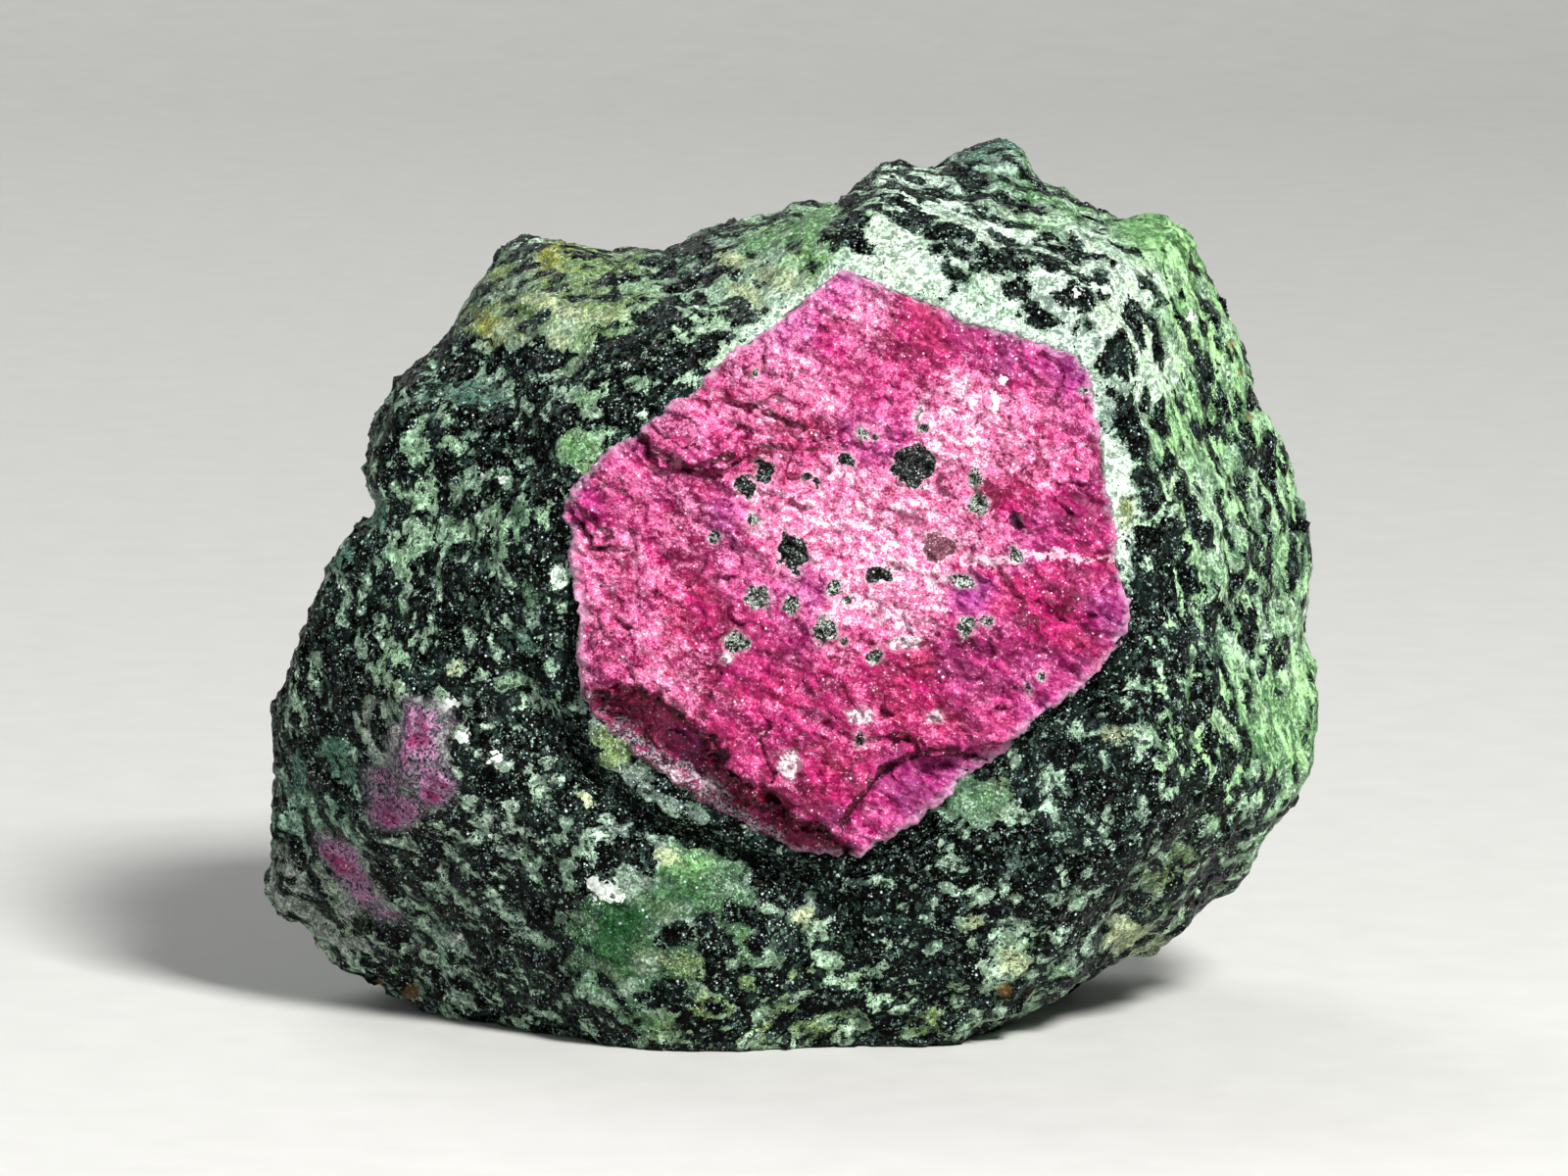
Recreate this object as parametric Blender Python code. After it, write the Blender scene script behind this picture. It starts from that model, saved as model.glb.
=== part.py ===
"""Ruby in zoisite: a large hexagonal ruby crystal and two small rubies grown in a zoisite stone.

Run it with blender --background --python part.py, or from Blender's text editor.

Lengths are millimetres in the face frame, which lies across the ruby's face: X runs to the right,
Z up, and Y away from whoever looks at the face. At the end the stone is leant back, cut flat where
it rests, and moved so that the middle of its footprint's box is the origin, in metres with +Z up.
"""

import math

import bmesh
import bpy
import numpy as np
from mathutils import Matrix, Vector, noise

# Driving dimensions
MM = 0.001  # metres in a millimetre
MIDDLE = (0.0, 37.0)  # X and Z of the stone's middle
FACE_DEPTH = 33.0  # how far the stone would bulge towards the viewer with no flats on it
BACK_DEPTH = 33.0  # how far it bulges away
SIDE_ROUNDNESS = 0.72  # 1 is an ellipsoid, and less is boxier
FACE_ROUNDNESS = 0.82
LEAN_DEG = 8.0  # the face looks up by this angle
BASE_CUT = 2.6  # height in the leant stone where the base is cut flat
BASE_CUTTER = 200.0  # side of the cube that cuts it
SEAM = 0.3  # gap between each ruby and the stone around it

# The stone's outline across the face, from the peak clockwise. The base cut takes off its lowest points.
OUTLINE = [
    (17.5, 77.6), (19.8, 76.8), (21.4, 74.4), (25.2, 72.2), (28.5, 71.4), (31.9, 71.4),
    (33.5, 69.8), (36.4, 65.2), (38.8, 60.2), (40.6, 54.4), (43.0, 49.2), (44.2, 45.0),
    (44.6, 40.0), (44.4, 35.0), (45.2, 30.0), (45.0, 26.4), (43.8, 21.6), (41.3, 17.5),
    (37.1, 12.5), (32.9, 9.2), (27.1, 6.3), (21.3, 3.8), (16.3, 0.6), (11.0, -4.5),
    (2.0, -7.0), (-8.0, -6.5), (-16.0, -3.5), (-23.0, 0.5), (-32.1, 2.9), (-38.8, 6.7),
    (-42.1, 10.4), (-45.2, 12.9), (-44.8, 15.8), (-44.2, 22.5), (-43.8, 28.3), (-42.1, 35.0),
    (-40.0, 40.0), (-37.5, 43.8), (-35.6, 45.8), (-36.4, 48.3), (-35.8, 53.3), (-33.8, 57.1),
    (-30.0, 60.0), (-27.9, 63.3), (-26.3, 65.8), (-24.6, 68.3), (-21.7, 69.8), (-18.8, 69.2),
    (-15.4, 68.4), (-10.4, 68.3), (-8.3, 69.2), (-6.3, 70.4), (-0.4, 71.7), (3.8, 72.5),
    (5.8, 74.2), (7.9, 75.7), (12.1, 76.0), (15.0, 77.1),
]

# Broken flats: outward normal in the face frame, and distance from the stone's middle.
FLATS = [
    ((0.05, -1.00, 0.06), 25.2),  # around the ruby
    ((0.82, -0.56, 0.10), 37.0),  # right side, down from the long ridge
    ((0.12, -0.46, 0.88), 38.6),  # above the ruby
    ((-0.38, -0.66, 0.64), 31.5),  # upper left, the yellowish facet
    ((-0.56, -0.80, 0.10), 29.5),  # left
    ((-0.62, -0.62, -0.47), 35.0),  # lower left
    ((0.06, -0.88, -0.47), 30.6),  # below the ruby
    ((0.66, -0.36, -0.66), 39.5),  # lower right
    ((0.10, 0.98, 0.16), 28.0),  # back
    ((-0.62, 0.72, 0.30), 33.5),  # back left
    ((0.66, 0.66, 0.36), 36.0),  # back right
    ((-0.10, 0.62, -0.78), 36.0),  # back, low
    ((0.20, 0.55, 0.80), 37.0),  # back, high
]
FLATNESS = 0.9  # 1 is dead flat
EDGE_WEAR = 0.9  # how softly the flats meet
OUTLINE_SECTORS = 180  # directions in which the silhouette is fitted
FITTED_FROM = 0.6  # where the fitting starts, as a share of the way from the middle to the silhouette
OUTLINE_BAND = 0.45  # how far round the sides the outline's small bays and bumps reach
OUTLINE_BLUR_DEG = 18.0  # how far the outline is averaged to lose them
FRONT_FADE = 2.5  # how fast the front's features die away towards the silhouette

# Swellings and hollows of the front: X, Z, radius and height towards the viewer.
SWELLINGS = [
    (-21.0, 65.5, 6.0, 1.6),  # yellowish knob, upper left
    (-28.0, 52.0, 7.0, 0.9),
    (-31.5, 24.5, 7.5, 1.8),  # swelling that carries the upper small ruby
    (-23.5, 33.0, 6.0, -1.3),
    (-38.0, 14.0, 6.0, 1.2),
    (-20.0, 17.0, 7.0, -1.0),
    (-8.0, 10.5, 7.0, 1.5),  # green swelling below the ruby
    (13.0, 9.0, 9.0, 0.8),
    (26.5, 20.0, 8.0, 1.0),
    (31.0, 60.0, 7.0, 1.3),
    (31.5, 36.0, 4.0, -1.2),  # dark hollow beside the ruby's right corner
    (36.0, 31.0, 8.0, 1.1),
    (12.0, 70.5, 6.0, 1.1),
    (-1.0, 67.5, 5.0, -0.8),
]

# Steps in the front. Each has its edge's points, with the low side on the right of whoever walks from
# the first to the last, then the drop, the width of its slope, and how far the low side stays low.
STONE_STEPS = [
    # under the yellowish facet, then down towards the ruby
    (
        [(-27.5, 61.2), (-24.6, 59.8), (-21.7, 60.2), (-20.4, 56.7), (-19.6, 52.5), (-18.9, 50.0)],
        2.3, 2.4, 9.0,
    ),
    # deep crevice below the ruby's lower left side
    (
        [(-19.5, 31.5), (-17.4, 27.0), (-12.9, 22.6), (-8.75, 20.0), (-3.75, 17.9), (4.5, 15.0)],
        3.2, 2.2, 5.5,
    ),
    # ledges at the lower left
    ([(-40.0, 19.2), (-36.5, 18.6), (-31.0, 15.5), (-26.0, 9.5)], 1.5, 2.4, 5.0),
    ([(-39.0, 10.6), (-36.0, 9.2), (-31.0, 5.5)], 1.1, 2.2, 4.0),
    # ledges on the right side
    ([(31.0, 46.5), (36.0, 41.5), (43.0, 38.0)], 1.1, 2.4, 6.0),
    ([(26.0, 26.5), (32.0, 25.0), (40.0, 20.0)], 1.2, 2.4, 6.0),
    # a step above the ruby
    ([(-10.0, 66.5), (-3.0, 66.0), (3.0, 68.5), (8.0, 69.5)], 1.2, 2.2, 5.0),
]
STEP_END_FADE = 2.5  # how fast a step dies away past the ends of its edge

# The ruby's outline, from its top corner clockwise, and its body.
RUBY_OUTLINE = [
    (4.2, 65.5), (6.4, 65.0), (8.3, 63.9), (11.6, 62.9), (14.6, 61.2), (20.4, 59.5),
    (23.6, 58.4), (24.8, 56.8), (25.2, 53.5), (26.4, 47.5), (27.2, 41.5), (27.9, 37.5),
    (27.7, 35.6), (26.2, 33.4), (20.4, 28.4), (14.5, 23.7), (8.2, 18.7), (6.0, 17.2),
    (3.8, 16.8), (0.6, 17.3), (-3.4, 19.7), (-6.8, 20.9), (-9.0, 23.0), (-14.0, 26.8),
    (-16.5, 29.0), (-17.0, 31.0), (-17.2, 37.0), (-17.9, 43.4), (-18.6, 45.9), (-18.0, 47.3),
    (-12.8, 51.8), (-8.4, 55.0), (-1.5, 60.7), (1.9, 63.7),
]
RUBY_MIDDLE = (4.8, 41.5)
RUBY_LEVEL = 25.6  # how far its face stands towards the viewer
RUBY_CROWN = 1.3  # extra height of the face's middle
RUBY_HALF_WIDTH = 22.0
RUBY_BLOCK = 52.0  # side of the block that it is cut from
# How far it stands out from the stone: direction from its middle, in degrees anticlockwise from the
# right, and height
RUBY_STANDS_OUT = [
    (-135, 4.0), (-90, 3.4), (-45, 2.0), (0, 0.8), (45, 0.6), (90, 0.5), (135, 0.8), (180, 1.4),
]
COLLAR = 6.0  # how far from the ruby the stone still follows its level
RUBY_BODY = 20.0  # how deep the crystal goes into the stone
RUBY_NARROWING = 0.008  # share of its width that it loses with each millimetre of depth
RUBY_CUTTER_FRONT = -36.0  # where the cutters for its sides and its socket start, in front of the stone
RUBY_CELL = 1.4  # size of the facets that its broken face is made of
RUBY_UNEVENNESS = 0.55  # how far the facets' corners stray, as a share of that size
RUBY_GRAIN_DEG = -28.0  # the way the broken face's ribs run
RUBY_RIB_LENGTH = 9.0
RUBY_RIB_WIDTH = 2.6
RUBY_RIB_HEIGHT = 0.75
RUBY_SEED = 5

# Steps in the ruby's face, written as the stone's are.
RUBY_STEPS = [
    # scarp along the lower left side, down to a bench
    (
        [(-18.7, 31.3), (-11.2, 31.7), (-8.6, 30.1), (-6.4, 27.4), (-4.0, 24.1), (-0.4, 21.7), (6.1, 18.0)],
        3.3, 2.6, 60.0,
    ),
    # flap at the lower right
    ([(4.1, 17.5), (5.1, 20.9), (7.6, 24.0), (10.7, 25.6), (14.6, 25.9), (18.5, 26.8)], 1.6, 0.9, 30.0),
    # raised part at the upper left
    ([(-14.5, 54.0), (-10.3, 50.2), (-9.2, 49.2), (-6.7, 50.2), (-3.0, 50.9)], 1.6, 1.0, 8.0),
    ([(-19.5, 46.2), (-17.6, 45.4), (-14.0, 41.8)], 1.0, 0.9, 5.0),
    ([(-5.0, 51.6), (0.3, 51.2), (2.2, 53.6)], 0.7, 0.9, 5.0),
]

# Small rubies: X and Z of the middle, which way each faces, half length, half width and slant.
SMALL_RUBIES = {
    "upper_small_ruby": ((-31.2, 24.4), (-0.50, -0.85, 0.0), 5.6, 3.6, 78.0),
    "lower_small_ruby": ((-38.2, 15.6), (-0.72, -0.66, -0.20), 4.3, 2.0, -36.0),
}
SMALL_RUBY_DEPTH = 5.0
SMALL_RUBY_NARROWING = 0.04
SMALL_RUBY_SIDES = 14
SMALL_RUBY_WAVES = [(3, 0.16), (5, 0.08)]  # unevenness of its outline: bumps around it, and their height
SMALL_CUTTER_FRONT = 6.0  # how far its cutters start in front of the stone

# Surface roughness: size of the lumps, and their height.
LUMPS = [(17.0, 1.5), (6.5, 0.9)]
SMALL_LUMPS = [(3.4, 0.55)]
BALL_SUBDIVISIONS = 7
STONE_TRIANGLES = 6600

STONE_COLOUR = (0.10, 0.17, 0.11, 1.0)
RUBY_COLOUR = (0.55, 0.03, 0.17, 1.0)


def clear_scene():
    for obj in list(bpy.data.objects):
        bpy.data.objects.remove(obj, do_unlink=True)


def new_collection(name):
    collection = bpy.data.collections.new(name)
    bpy.context.scene.collection.children.link(collection)
    return collection


def new_object(name, mesh_editor, collection, material=None):
    """An object from a bmesh, which is freed."""
    mesh = bpy.data.meshes.new(name)
    mesh_editor.to_mesh(mesh)
    mesh_editor.free()
    obj = bpy.data.objects.new(name, mesh)
    if material:
        mesh.materials.append(material)
    collection.objects.link(obj)
    return obj


def new_material(name, colour, roughness):
    material = bpy.data.materials.new(name)
    material.use_nodes = True
    shader = material.node_tree.nodes["Principled BSDF"]
    shader.inputs["Base Color"].default_value = colour
    shader.inputs["Roughness"].default_value = roughness
    shader.inputs["Metallic"].default_value = 0.0
    return material


def smooth_step(value):
    value = np.clip(value, 0.0, 1.0)
    return value * value * (3.0 - 2.0 * value)


def step_drop(across, up, edge, drop, width, reach):
    """How much a step lowers each point: by drop past its edge, fading further off and past its ends."""
    nearest = np.full(across.shape, np.inf)
    straight_off = np.zeros(across.shape)
    low_side = np.zeros(across.shape)
    past_ends = np.zeros(across.shape)
    same = 1e-6
    last = len(edge) - 2
    for index in range(last + 1):
        start = np.array(edge[index])
        along = np.array(edge[index + 1]) - start
        length = np.hypot(*along)
        along = along / length
        offset_x = across - start[0]
        offset_z = up - start[1]
        position = offset_x * along[0] + offset_z * along[1]
        on_right = offset_x * along[1] - offset_z * along[0]
        past = position - np.clip(position, 0.0, length)
        distance = np.hypot(on_right, past)
        tied = np.abs(distance - nearest) < same
        closer = (distance < nearest - same) | (tied & (np.abs(on_right) > np.abs(straight_off)))
        at_open_end = ((past < 0) & (index == 0)) | ((past > 0) & (index == last))
        signed = np.where(at_open_end, on_right, np.sign(on_right) * distance)
        nearest = np.where(closer, distance, nearest)
        straight_off = np.where(closer, on_right, straight_off)
        low_side = np.where(closer, signed, low_side)
        past_ends = np.where(closer, np.where(at_open_end, past, 0.0), past_ends)
    rise_back = np.exp(-np.maximum(low_side - width, 0.0) / reach)
    end_fade = np.exp(-((past_ends / STEP_END_FADE) ** 2))
    return drop * smooth_step(low_side / width) * rise_back * end_fade


def reach_of(outline, middle, angle):
    """An outline's distance from its middle in each direction across the face."""
    points = np.array(outline) - np.array(middle)
    directions = np.arctan2(points[:, 1], points[:, 0])
    return np.interp(angle, directions, np.hypot(points[:, 0], points[:, 1]), period=2 * math.pi)


def smoothed_reach(angle):
    """The outline's distance without its small bays and bumps."""
    turns = np.radians(np.linspace(-OUTLINE_BLUR_DEG, OUTLINE_BLUR_DEG, 13))
    return np.mean([reach_of(OUTLINE, MIDDLE, angle + turn) for turn in turns], axis=0)


def fit_to_outline(points):
    """Spreads or draws in the stone's rim across the face, so that its silhouette is the outline."""
    angle = np.arctan2(points[:, 2], points[:, 0])
    reach = np.hypot(points[:, 0], points[:, 2])
    sectors = np.linspace(-math.pi, math.pi, OUTLINE_SECTORS, endpoint=False)
    sector_width = 2 * math.pi / OUTLINE_SECTORS
    widest = np.zeros(OUTLINE_SECTORS)
    for index, sector in enumerate(sectors):
        turned = np.abs((angle - sector + math.pi) % (2 * math.pi) - math.pi)
        widest[index] = reach[turned < sector_width].max()
    widest = (np.roll(widest, 1) + 2.0 * widest + np.roll(widest, -1)) / 4.0
    share = np.interp(angle, sectors, reach_of(OUTLINE, MIDDLE, sectors) / widest, period=2 * math.pi)
    own_widest = np.interp(angle, sectors, widest, period=2 * math.pi)
    stretch = 1.0 + (share - 1.0) * smooth_step((reach / own_widest - FITTED_FROM) / (1.0 - FITTED_FROM))
    points[:, 0] *= stretch
    points[:, 2] *= stretch


def lumpiness(points, lumps):
    """Height of the natural roughness at each point."""
    heights = np.zeros(len(points))
    for index, (size, height) in enumerate(lumps):
        shift = Vector((31.0 * index, 7.0, 3.0))
        heights += height * np.array([noise.noise(Vector(point) / size + shift) for point in points])
    return heights


def meet_ruby(points, in_front):
    """Brings the stone around the ruby to the level it has there."""
    across = points[:, 0] - RUBY_MIDDLE[0]
    up = points[:, 2] - RUBY_MIDDLE[1]
    angle = np.arctan2(up, across)
    outside = np.maximum(np.hypot(across, up) - reach_of(RUBY_OUTLINE, RUBY_MIDDLE, angle), 0.0)
    near = np.exp(-((outside / COLLAR) ** 2)) * in_front
    around, stands_out = np.array(RUBY_STANDS_OUT).T
    level = RUBY_LEVEL - np.interp(np.degrees(angle), around, stands_out, period=360)
    points[:, 1] += near * (-level - points[:, 1])


def stone_points(directions):
    """Where the stone's surface is, for unit directions from its middle."""
    spread = np.hypot(directions[:, 0], directions[:, 2])
    angle = np.arctan2(directions[:, 2], directions[:, 0])
    on_rim = np.exp(-((directions[:, 1] / OUTLINE_BAND) ** 2))
    reach = on_rim * reach_of(OUTLINE, MIDDLE, angle) + (1.0 - on_rim) * smoothed_reach(angle)
    reach *= spread**SIDE_ROUNDNESS
    depth = np.where(directions[:, 1] < 0, FACE_DEPTH, BACK_DEPTH)
    away = np.sign(directions[:, 1]) * depth * np.abs(directions[:, 1]) ** FACE_ROUNDNESS
    points = np.stack([reach * np.cos(angle), away, reach * np.sin(angle)], axis=1)
    for normal, distance in FLATS:
        normal = np.array(normal) / np.linalg.norm(normal)
        over = EDGE_WEAR * np.logaddexp(0.0, (points @ normal - distance) / EDGE_WEAR)
        points -= FLATNESS * over[:, None] * normal
    points += lumpiness(points, LUMPS)[:, None] * directions
    fit_to_outline(points)
    points += np.array([MIDDLE[0], 0.0, MIDDLE[1]])
    in_front = smooth_step(-directions[:, 1] * FRONT_FADE)
    for x, z, radius, height in SWELLINGS:
        near = np.exp(-((points[:, 0] - x) ** 2 + (points[:, 2] - z) ** 2) / radius**2)
        points[:, 1] -= height * near * in_front
    meet_ruby(points, in_front)
    for step in STONE_STEPS:
        points[:, 1] += step_drop(points[:, 0], points[:, 2], *step) * in_front
    return points + lumpiness(points, SMALL_LUMPS)[:, None] * directions


def make_stone(collection, material):
    """The whole stone, before the rubies' sockets and the base are cut."""
    ball = bmesh.new()
    bmesh.ops.create_icosphere(ball, subdivisions=BALL_SUBDIVISIONS, radius=1.0)
    directions = np.array([vert.co for vert in ball.verts])
    for vert, point in zip(ball.verts, stone_points(directions)):
        vert.co = point
    stone = new_object("zoisite_matrix", ball, collection, material)
    thin_out(stone, STONE_TRIANGLES)
    return stone


def thin_out(obj, triangles):
    """Fewer triangles where the surface is flat, applied so that later cuts see the result."""
    thinner = obj.modifiers.new("thinner", "DECIMATE")
    thinner.ratio = triangles / len(obj.data.polygons)
    thinner.use_collapse_triangulate = True
    apply_modifiers(obj)


def apply_modifiers(obj):
    graph = bpy.context.evaluated_depsgraph_get()
    made = bpy.data.meshes.new_from_object(obj.evaluated_get(graph))
    obj.modifiers.clear()
    old = obj.data
    obj.data = made
    bpy.data.meshes.remove(old)


def combine(obj, tool, operation):
    """Cuts or joins obj with tool, which stays as it is."""
    modifier = obj.modifiers.new(operation.lower(), "BOOLEAN")
    modifier.operation = operation
    modifier.object = tool
    apply_modifiers(obj)


def make_prism(name, outline, level, front, back, narrowing, collection):
    """A closed prism along Y. Its section is the outline at level, and narrows away from the viewer."""
    prism = bmesh.new()
    middle = np.mean(outline, axis=0)
    near_share = 1.0 + narrowing * (level - front)
    far_share = 1.0 - narrowing * (back - level)
    near_outline = middle + (np.array(outline) - middle) * near_share
    face = prism.faces.new([prism.verts.new((x, front, z)) for x, z in near_outline])
    grown = bmesh.ops.extrude_face_region(prism, geom=[face])
    for vert in (item for item in grown["geom"] if isinstance(item, bmesh.types.BMVert)):
        vert.co.x = middle[0] + (vert.co.x - middle[0]) * far_share / near_share
        vert.co.z = middle[1] + (vert.co.z - middle[1]) * far_share / near_share
        vert.co.y = back
    bmesh.ops.recalc_face_normals(prism, faces=prism.faces)
    prism_object = new_object(name, prism, collection)
    prism_object.hide_render = True
    prism_object.display_type = "WIRE"
    return prism_object


def widened(outline, by):
    """An outline pushed out from its middle by a distance, for a socket around a crystal."""
    points = np.array(outline)
    middle = points.mean(axis=0)
    offsets = points - middle
    reach = np.hypot(offsets[:, 0], offsets[:, 1])[:, None]
    return middle + offsets * (reach + by) / reach


def make_ruby_prism(name, outline, collection):
    """The large ruby's sides, from in front of the stone to just past the crystal's foot."""
    back = -RUBY_LEVEL + RUBY_BODY + SEAM
    return make_prism(name, outline, -RUBY_LEVEL, RUBY_CUTTER_FRONT, back, RUBY_NARROWING, collection)


def ruby_level(across, up):
    """How far the ruby's broken face stands towards the viewer."""
    from_middle = np.hypot(across - RUBY_MIDDLE[0], up - RUBY_MIDDLE[1]) / RUBY_HALF_WIDTH
    level = RUBY_LEVEL + RUBY_CROWN * (1.0 - from_middle**2)
    for step in RUBY_STEPS:
        level = level - step_drop(across, up, *step)
    turn = math.radians(RUBY_GRAIN_DEG)
    along = (across * math.cos(turn) + up * math.sin(turn)) / RUBY_RIB_LENGTH
    over = (up * math.cos(turn) - across * math.sin(turn)) / RUBY_RIB_WIDTH
    ribs = np.array([noise.noise(Vector((one, other, 4.0))) for one, other in zip(along, over)])
    return level + RUBY_RIB_HEIGHT * ribs


def make_ruby(collection, cutters, material):
    """The hexagonal crystal: a stepped, faceted block trimmed to the crystal's tapering sides."""
    block = bmesh.new()
    cells = round(RUBY_BLOCK / RUBY_CELL)
    place = Matrix.Translation((RUBY_MIDDLE[0], 0.0, RUBY_MIDDLE[1])) @ Matrix.Rotation(math.pi / 2, 4, "X")
    bmesh.ops.create_grid(block, x_segments=cells, y_segments=cells, size=RUBY_BLOCK / 2, matrix=place)
    face_verts = list(block.verts)
    strays = np.random.default_rng(RUBY_SEED).uniform(-0.5, 0.5, (len(face_verts), 2))
    for vert, stray in zip(face_verts, strays * RUBY_UNEVENNESS * RUBY_CELL):
        vert.co.x += stray[0]
        vert.co.z += stray[1]
    grown = bmesh.ops.extrude_face_region(block, geom=list(block.faces))
    back_verts = [item for item in grown["geom"] if isinstance(item, bmesh.types.BMVert)]
    for vert in back_verts:
        vert.co.y = -RUBY_LEVEL + RUBY_BODY
    where = np.array([vert.co for vert in face_verts])
    for vert, level in zip(face_verts, ruby_level(where[:, 0], where[:, 2])):
        vert.co.y = -level
    bmesh.ops.triangulate(block, faces=list(block.faces))
    bmesh.ops.recalc_face_normals(block, faces=block.faces)
    ruby = new_object("ruby_crystal", block, collection, material)
    sides = make_ruby_prism("ruby_sides", RUBY_OUTLINE, cutters)
    combine(ruby, sides, "INTERSECT")
    flatten_foot(ruby)
    return ruby


def flatten_foot(ruby):
    """Joins the coplanar triangles of the crystal's hidden foot into one face."""
    editor = bmesh.new()
    editor.from_mesh(ruby.data)
    bmesh.ops.dissolve_limit(editor, angle_limit=math.radians(0.5), verts=editor.verts, edges=editor.edges)
    editor.to_mesh(ruby.data)
    editor.free()


def small_outline(half_length, half_width):
    """A rounded, uneven outline for a small ruby."""
    outline = []
    for index in range(SMALL_RUBY_SIDES):
        angle = -2 * math.pi * index / SMALL_RUBY_SIDES
        waves = [height * math.sin(bumps * angle + half_width) for bumps, height in SMALL_RUBY_WAVES]
        uneven = 1.0 + sum(waves)
        outline.append((half_length * uneven * math.cos(angle), half_width * uneven * math.sin(angle)))
    return outline


def turn_to_face(prism, middle, surface, facing, slant_deg):
    """Sets a prism, made around the origin along Y, on the stone's surface at a point, facing outwards."""
    outwards = Vector(facing).normalized()
    turn = (-outwards).to_track_quat("Y", "Z").to_matrix().to_4x4()
    slant = Matrix.Rotation(-math.radians(slant_deg), 4, "Y")
    prism.data.transform(Matrix.Translation((middle[0], surface, middle[1])) @ turn @ slant)


def surface_of(stone, x, z):
    """Y of the stone's front surface at X and Z."""
    hit, place, _, _ = stone.ray_cast(Vector((x, -100.0, z)), Vector((0.0, 1.0, 0.0)))
    if not hit:
        raise ValueError("a small ruby lies outside the stone")
    return place.y


def make_small_ruby(name, stone, collection, cutters, material):
    """A small ruby, flush with the stone, and the cutter for its socket."""
    middle, facing, half_length, half_width, slant_deg = SMALL_RUBIES[name]
    outline = small_outline(half_length, half_width)
    surface = surface_of(stone, *middle)
    around = widened(outline, SEAM)
    front, back = -SMALL_CUTTER_FRONT, SMALL_RUBY_DEPTH
    body = make_prism(name + "_sides", outline, 0.0, front, back, SMALL_RUBY_NARROWING, cutters)
    socket = make_prism(name + "_socket", around, 0.0, front, back + SEAM, SMALL_RUBY_NARROWING, cutters)
    for prism in (body, socket):
        turn_to_face(prism, middle, surface, facing, slant_deg)
    ruby = bpy.data.objects.new(name, stone.data.copy())
    ruby.data.materials.clear()
    ruby.data.materials.append(material)
    collection.objects.link(ruby)
    combine(ruby, body, "INTERSECT")
    return ruby, socket


def set_down(objects, cutters):
    """Leans the finished pieces back, cuts the stone's base flat, and moves them all to the origin."""
    lean = Matrix.Rotation(-math.radians(LEAN_DEG), 4, "X")
    for obj in objects:
        obj.data.transform(lean)
    stone = objects[0]
    below = bmesh.new()
    down = Matrix.Translation((0.0, 0.0, BASE_CUT - BASE_CUTTER / 2))
    bmesh.ops.create_cube(below, size=BASE_CUTTER, matrix=down)
    base_cutter = new_object("base_cutter", below, cutters)
    base_cutter.hide_render = True
    base_cutter.display_type = "WIRE"
    combine(stone, base_cutter, "DIFFERENCE")
    corners = np.array([vert.co for obj in objects for vert in obj.data.vertices])
    low, high = corners.min(axis=0), corners.max(axis=0)
    to_origin = Matrix.Translation((-(low[0] + high[0]) / 2, -(low[1] + high[1]) / 2, -low[2]))
    for obj in objects:
        obj.data.transform(Matrix.Scale(MM, 4) @ to_origin)
        obj.data.update()


def main():
    clear_scene()
    parts = new_collection("ruby_in_zoisite")
    cutters = new_collection("cutters")
    zoisite = new_material("zoisite", STONE_COLOUR, 0.6)
    corundum = new_material("ruby", RUBY_COLOUR, 0.4)

    stone = make_stone(parts, zoisite)
    ruby = make_ruby(parts, cutters, corundum)
    sockets = [make_ruby_prism("ruby_socket", widened(RUBY_OUTLINE, SEAM), cutters)]
    pieces = [stone, ruby]
    for name in SMALL_RUBIES:
        small, small_socket = make_small_ruby(name, stone, parts, cutters, corundum)
        pieces.append(small)
        sockets.append(small_socket)
    for cutter in sockets:
        combine(stone, cutter, "DIFFERENCE")
    set_down(pieces, cutters)


main()
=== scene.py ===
"""Looks of the ruby in zoisite specimen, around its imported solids.

The stone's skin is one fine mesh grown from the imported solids. Its minerals are laid over it as
vertex fields: black amphibole grains, zoisite zones, veils and stains. The large ruby has a face of
its own, with the crystal's steps, ribs and inclusions. The small rubies are patches of the skin, raised
a little.

Feature tables hold places as pixels of the 1600 by 1200 photograph. Shapes are worked out in the face
frame of the CAD, in millimetres: X to the right, Z up and Y away from the viewer, across the ruby.
"""

import itertools
import math

import bmesh
import bpy
import numpy as np
from mathutils import Matrix, Vector, kdtree, noise


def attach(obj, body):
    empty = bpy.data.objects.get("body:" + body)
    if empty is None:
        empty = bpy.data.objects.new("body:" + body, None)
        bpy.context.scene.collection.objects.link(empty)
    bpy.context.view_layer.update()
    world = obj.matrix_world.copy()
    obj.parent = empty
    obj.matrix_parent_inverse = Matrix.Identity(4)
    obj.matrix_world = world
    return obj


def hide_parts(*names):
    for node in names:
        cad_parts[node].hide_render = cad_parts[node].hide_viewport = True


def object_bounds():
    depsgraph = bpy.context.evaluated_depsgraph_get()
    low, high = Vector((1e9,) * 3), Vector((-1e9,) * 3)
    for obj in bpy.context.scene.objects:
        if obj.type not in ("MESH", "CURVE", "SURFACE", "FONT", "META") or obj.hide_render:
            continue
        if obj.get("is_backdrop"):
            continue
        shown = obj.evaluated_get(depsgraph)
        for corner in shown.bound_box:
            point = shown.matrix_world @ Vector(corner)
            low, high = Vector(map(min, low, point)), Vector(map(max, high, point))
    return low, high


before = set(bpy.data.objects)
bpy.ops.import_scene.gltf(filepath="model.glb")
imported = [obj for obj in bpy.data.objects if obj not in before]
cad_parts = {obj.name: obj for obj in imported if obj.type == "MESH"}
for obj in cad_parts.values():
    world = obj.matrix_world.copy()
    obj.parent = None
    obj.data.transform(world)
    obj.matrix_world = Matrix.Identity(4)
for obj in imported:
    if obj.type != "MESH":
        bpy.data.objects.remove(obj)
cad_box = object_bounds()

MM = 0.001

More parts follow.
